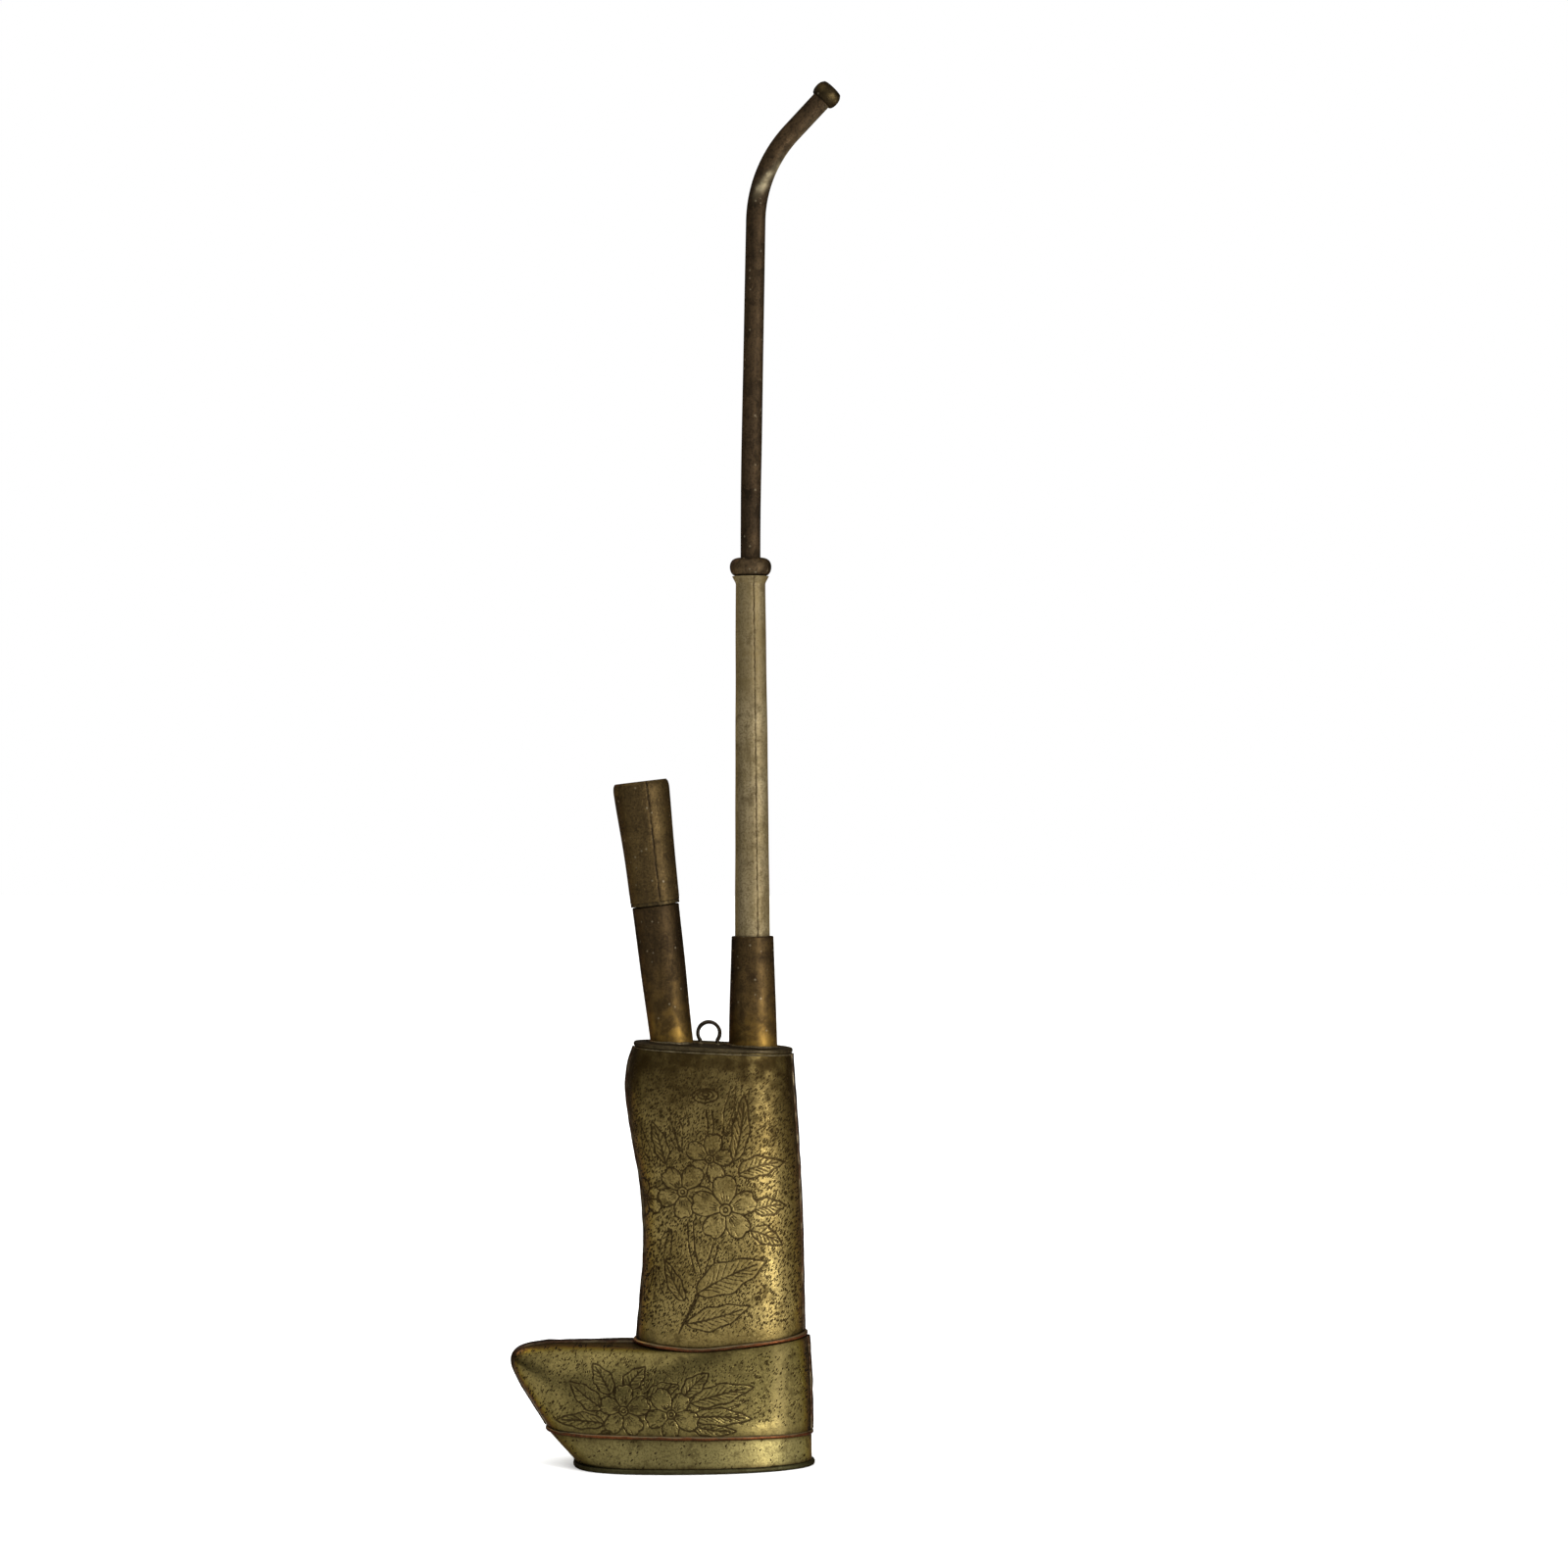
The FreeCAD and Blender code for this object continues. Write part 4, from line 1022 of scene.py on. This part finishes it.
def bent_path(points, radii, step=0.5):
    """Points in the XZ plane along straight runs whose corners are rounded with the given radii."""
    points = [np.array([x, 0.0, z]) for x, z in points]
    path = [points[0]]
    for before, here, after, radius in zip(points[:-2], points[1:-1], points[2:], radii):
        into, out = unit(here - before), unit(after - here)
        turn = math.acos(np.clip(into @ out, -1, 1))
        start = here - into * radius * math.tan(turn / 2)
        side = (out - into @ out * into) / math.sin(turn)
        for t in np.linspace(0, turn, max(4, int(radius * turn / step))):
            path.append(start + radius * (into * math.sin(t) + side * (1 - math.cos(t))))
    path.append(points[-1])
    dense = [path[0]]
    for a, b in zip(path[:-1], path[1:]):
        count = max(1, round(np.linalg.norm(b - a) / step))
        dense += [a + (b - a) * k / count for k in range(1, count + 1)]
    return np.array(dense)


def stem_wear(points):
    """Bright patches rubbed on the heel side of the stem, just where it starts to bend."""
    heelward = points[:, 0] - STEM_X
    band = points[:, 2] - 247.5 - 1.1 * heelward
    return np.exp(-(band / 1.25) ** 2) * ease((heelward + 0.6) / 1.6)


mouth = math.radians(MOUTH_DEG)
bend_x, bend_z = BEND_CORNER
mouth_end = (bend_x + MOUTH_RUN * math.sin(mouth), bend_z + MOUTH_RUN * math.cos(mouth))
knots = [(0, UPPER_FOOT), (0, UPPER_LEAN_START), BEND_CORNER, mouth_end]
upper_path = bent_path(knots, [LEAN_RADIUS, BEND_RADIUS])
along = np.linspace(0, 1, len(upper_path))
upper_radius = UPPER_R + (UPPER_R_END - UPPER_R) * along + 0.03 * undulation(upper_path, 24, 76)
swept("upper_stem", moved(upper_path, STEM_AXIS), upper_radius, 56, "stem_copper", "stem_upper_tube",
      "stem_upper", bore=UPPER_WALL, wear_and_glow=stem_wear)

MOUTH_AXIS = STEM_AXIS @ Matrix.Translation((mouth_end[0], 0, mouth_end[1])) @ Matrix.Rotation(mouth, 4, "Y")
bead = [(1.96, -2.7)]
bead += [(1.96 + 0.74 * math.cos(t) ** 0.85, -1.2 + 1.5 * math.sin(t)) for t in np.linspace(-1.55, 1.0, 26)]
bead = [(r, z, 0) for r, z in bead + [(2.1, 0.5), (1.8, 0.6), (1.45, 0.04), (1.96, 0.02)]]
turned("mouth_bead", bead, MOUTH_AXIS, "mouth_copper", "mouthpiece", "stem_upper",
       segments=96, step=0.3, wobble=0.05, seed=77,
       wear_and_glow=lambda height: 0.9 * np.exp(-((height + 0.9) / 0.6) ** 2))

LOOP_LEVEL, LOOP_WIRE = float(top_plane(LOOP_X)), 0.38
half_turn = math.radians(180 - LOOP_OPEN_DEG)
turns = np.linspace(-half_turn, half_turn, 84)
height = LOOP_LEVEL + LOOP_RISE + LOOP_R * np.cos(turns)
ring = np.stack([LOOP_X + LOOP_R * np.sin(turns), 0 * turns, height], -1)
shank = np.linspace(-1.5, 0, 8)[:-1, None] * UPWARD
loop = np.concatenate([ring[:1] + shank, ring, (ring[-1:] + shank)[::-1]])
swept("loop_wire", loop, LOOP_WIRE * (1 + 0.06 * undulation(loop, 3, 78)), 24, "dark_wire", "carry_loop")


def solder_ring(name, matrix, radius, size, seed):
    """A lumpy fillet of solder round the foot of a tube on the top plate."""
    angle = circle(120)
    centre = moved(np.stack([radius * np.cos(angle), radius * np.sin(angle), 0 * angle], -1), matrix)
    centre[:, 2] = top_plane(centre[:, 0]) + 0.04
    lumps = size * (1 + 0.3 * undulation(centre, 2.6, seed) + 0.15 * undulation(centre, 1.1, seed + 1))
    swept(name, centre, lumps, 16, "solder_brass", closed=True)


solder_ring("bowl_solder", BOWL_AXIS, 4.15, 0.3, 81)
solder_ring("stem_solder", STEM_FOOT, 4.75, 0.3, 83)
for side in (-1, 1):
    foot_x = LOOP_X + side * LOOP_R * math.sin(math.radians(LOOP_OPEN_DEG))
    solder_ring(f"loop_solder_{side + 1}", Matrix.Translation((foot_x, 0, LOOP_LEVEL)), 0.34, 0.26, 85)

x, y = leg_outline(circle(300), LEG_HIGH, 0.06)
lid_solder = np.stack([x, y, top_plane(x) - TOP_PLATE - 0.3], -1)
lumps = 0.15 * (1 + 0.3 * undulation(lid_solder, 3.0, 87))
swept("lid_solder", lid_solder, lumps, 12, "solder_brass", closed=True)

for node in ("bowl_spigot", "bowl_cup", "dip_tube"):
    for slot in bpy.data.objects[node].material_slots:
        slot.material = LOOKS["inner_brass"][0]


# ---------------- light, floor and camera

def studio_world():
    """Pale, and darker to the left and right, so that tubes get dark edges; the camera sees white."""
    world = bpy.data.worlds.new("studio")
    bpy.context.scene.world = world
    g = Graph(world, "Generated")
    x, y, z = g.axes()
    level = g.step(g.calc("ABSOLUTE", x), 0.25, 0.9, WORLD_PALE, WORLD_DARK)
    behind = g.step(y, -0.3, 0.6, 1.0, WORLD_BEHIND)
    above = g.step(z, 0.3, 0.6, 0.0, WORLD_ABOVE)
    seen = g.node("LightPath").outputs["Is Camera Ray"]
    shown = g.node("Mix", seen)
    g.put(shown.inputs[2], g.plus(g.times(level, behind), above))
    g.put(shown.inputs[3], 1.0)
    background = g.node("Background", (1.0, 1.0, 1.0, 1.0), shown.outputs[0])
    g.node("OutputWorld", background.outputs[0])


def softbox(name, azimuth, elevation, distance, width, height, power, target):
    """An area light that faces the object; azimuth 0 is the camera's side, and 90 is the heel's."""
    a, e = math.radians(azimuth), math.radians(elevation)
    back = Vector((math.sin(a) * math.cos(e), -math.cos(a) * math.cos(e), math.sin(e)))
    data = bpy.data.lights.new(name, "AREA")
    data.shape = "RECTANGLE"
    data.size, data.size_y = width, height
    data.energy = power
    light = bpy.data.objects.new(name, data)
    light.location = target + back * distance
    light.rotation_mode = "QUATERNION"
    light.rotation_quaternion = back.to_track_quat("Z", "Y")
    light.visible_camera = False
    bpy.context.scene.collection.objects.link(light)


def pale_floor(size):
    g = Graph(bpy.data.materials.new("floor_paper"))
    grain = g.noise(40, 4)
    colour = g.mix(g.step(grain, 0.3, 0.7), (243, 243, 242), (247, 247, 246))
    paper = g.finish(colour, g.step(grain, 0.3, 0.7, 0.8, 0.9), 0.0, grain, 0.02, NO_EDGE)
    mesh = bpy.data.meshes.new("floor")
    corners = [(x * size, y * size, 0) for x, y in ((-1, -1), (1, -1), (1, 1), (-1, 1))]
    mesh.from_pydata(corners, [], [(0, 1, 2, 3)])
    mesh.materials.append(paper)
    floor = bpy.data.objects.new("floor", mesh)
    bpy.context.scene.collection.objects.link(floor)


low, high = CAD_BOX
middle = (low + high) / 2
studio_world()
pale_floor(FLOOR_HALF_WIDTH)
# Azimuth and elevation, then distance, width and height in metres, and the power in watts.
softbox("key", 47, 0, 0.9, 0.11, 0.42, KEY_POWER, Vector((middle.x, middle.y, KEY_HEIGHT * MM)))
softbox("fill", -38, 20, 1.0, 0.35, 0.6, FILL_POWER, middle)
softbox("top", 0, 72, 1.0, 0.7, 0.7, TOP_POWER, middle)
softbox("back", -142, 28, 1.2, 0.4, 0.6, BACK_POWER, middle)

camera = bpy.data.cameras.new("camera")
camera.sensor_width = 36
camera.lens = camera.sensor_width * CAMERA_DISTANCE / VIEW_WIDTH
viewer = bpy.data.objects.new("camera", camera)
viewer.location = Vector((CAMERA_X, -CAMERA_DISTANCE, CAMERA_Z)) * MM
viewer.rotation_euler = (math.pi / 2, 0, 0)
bpy.context.scene.collection.objects.link(viewer)
bpy.context.scene.camera = viewer
bpy.context.scene.view_settings.view_transform = "Standard"
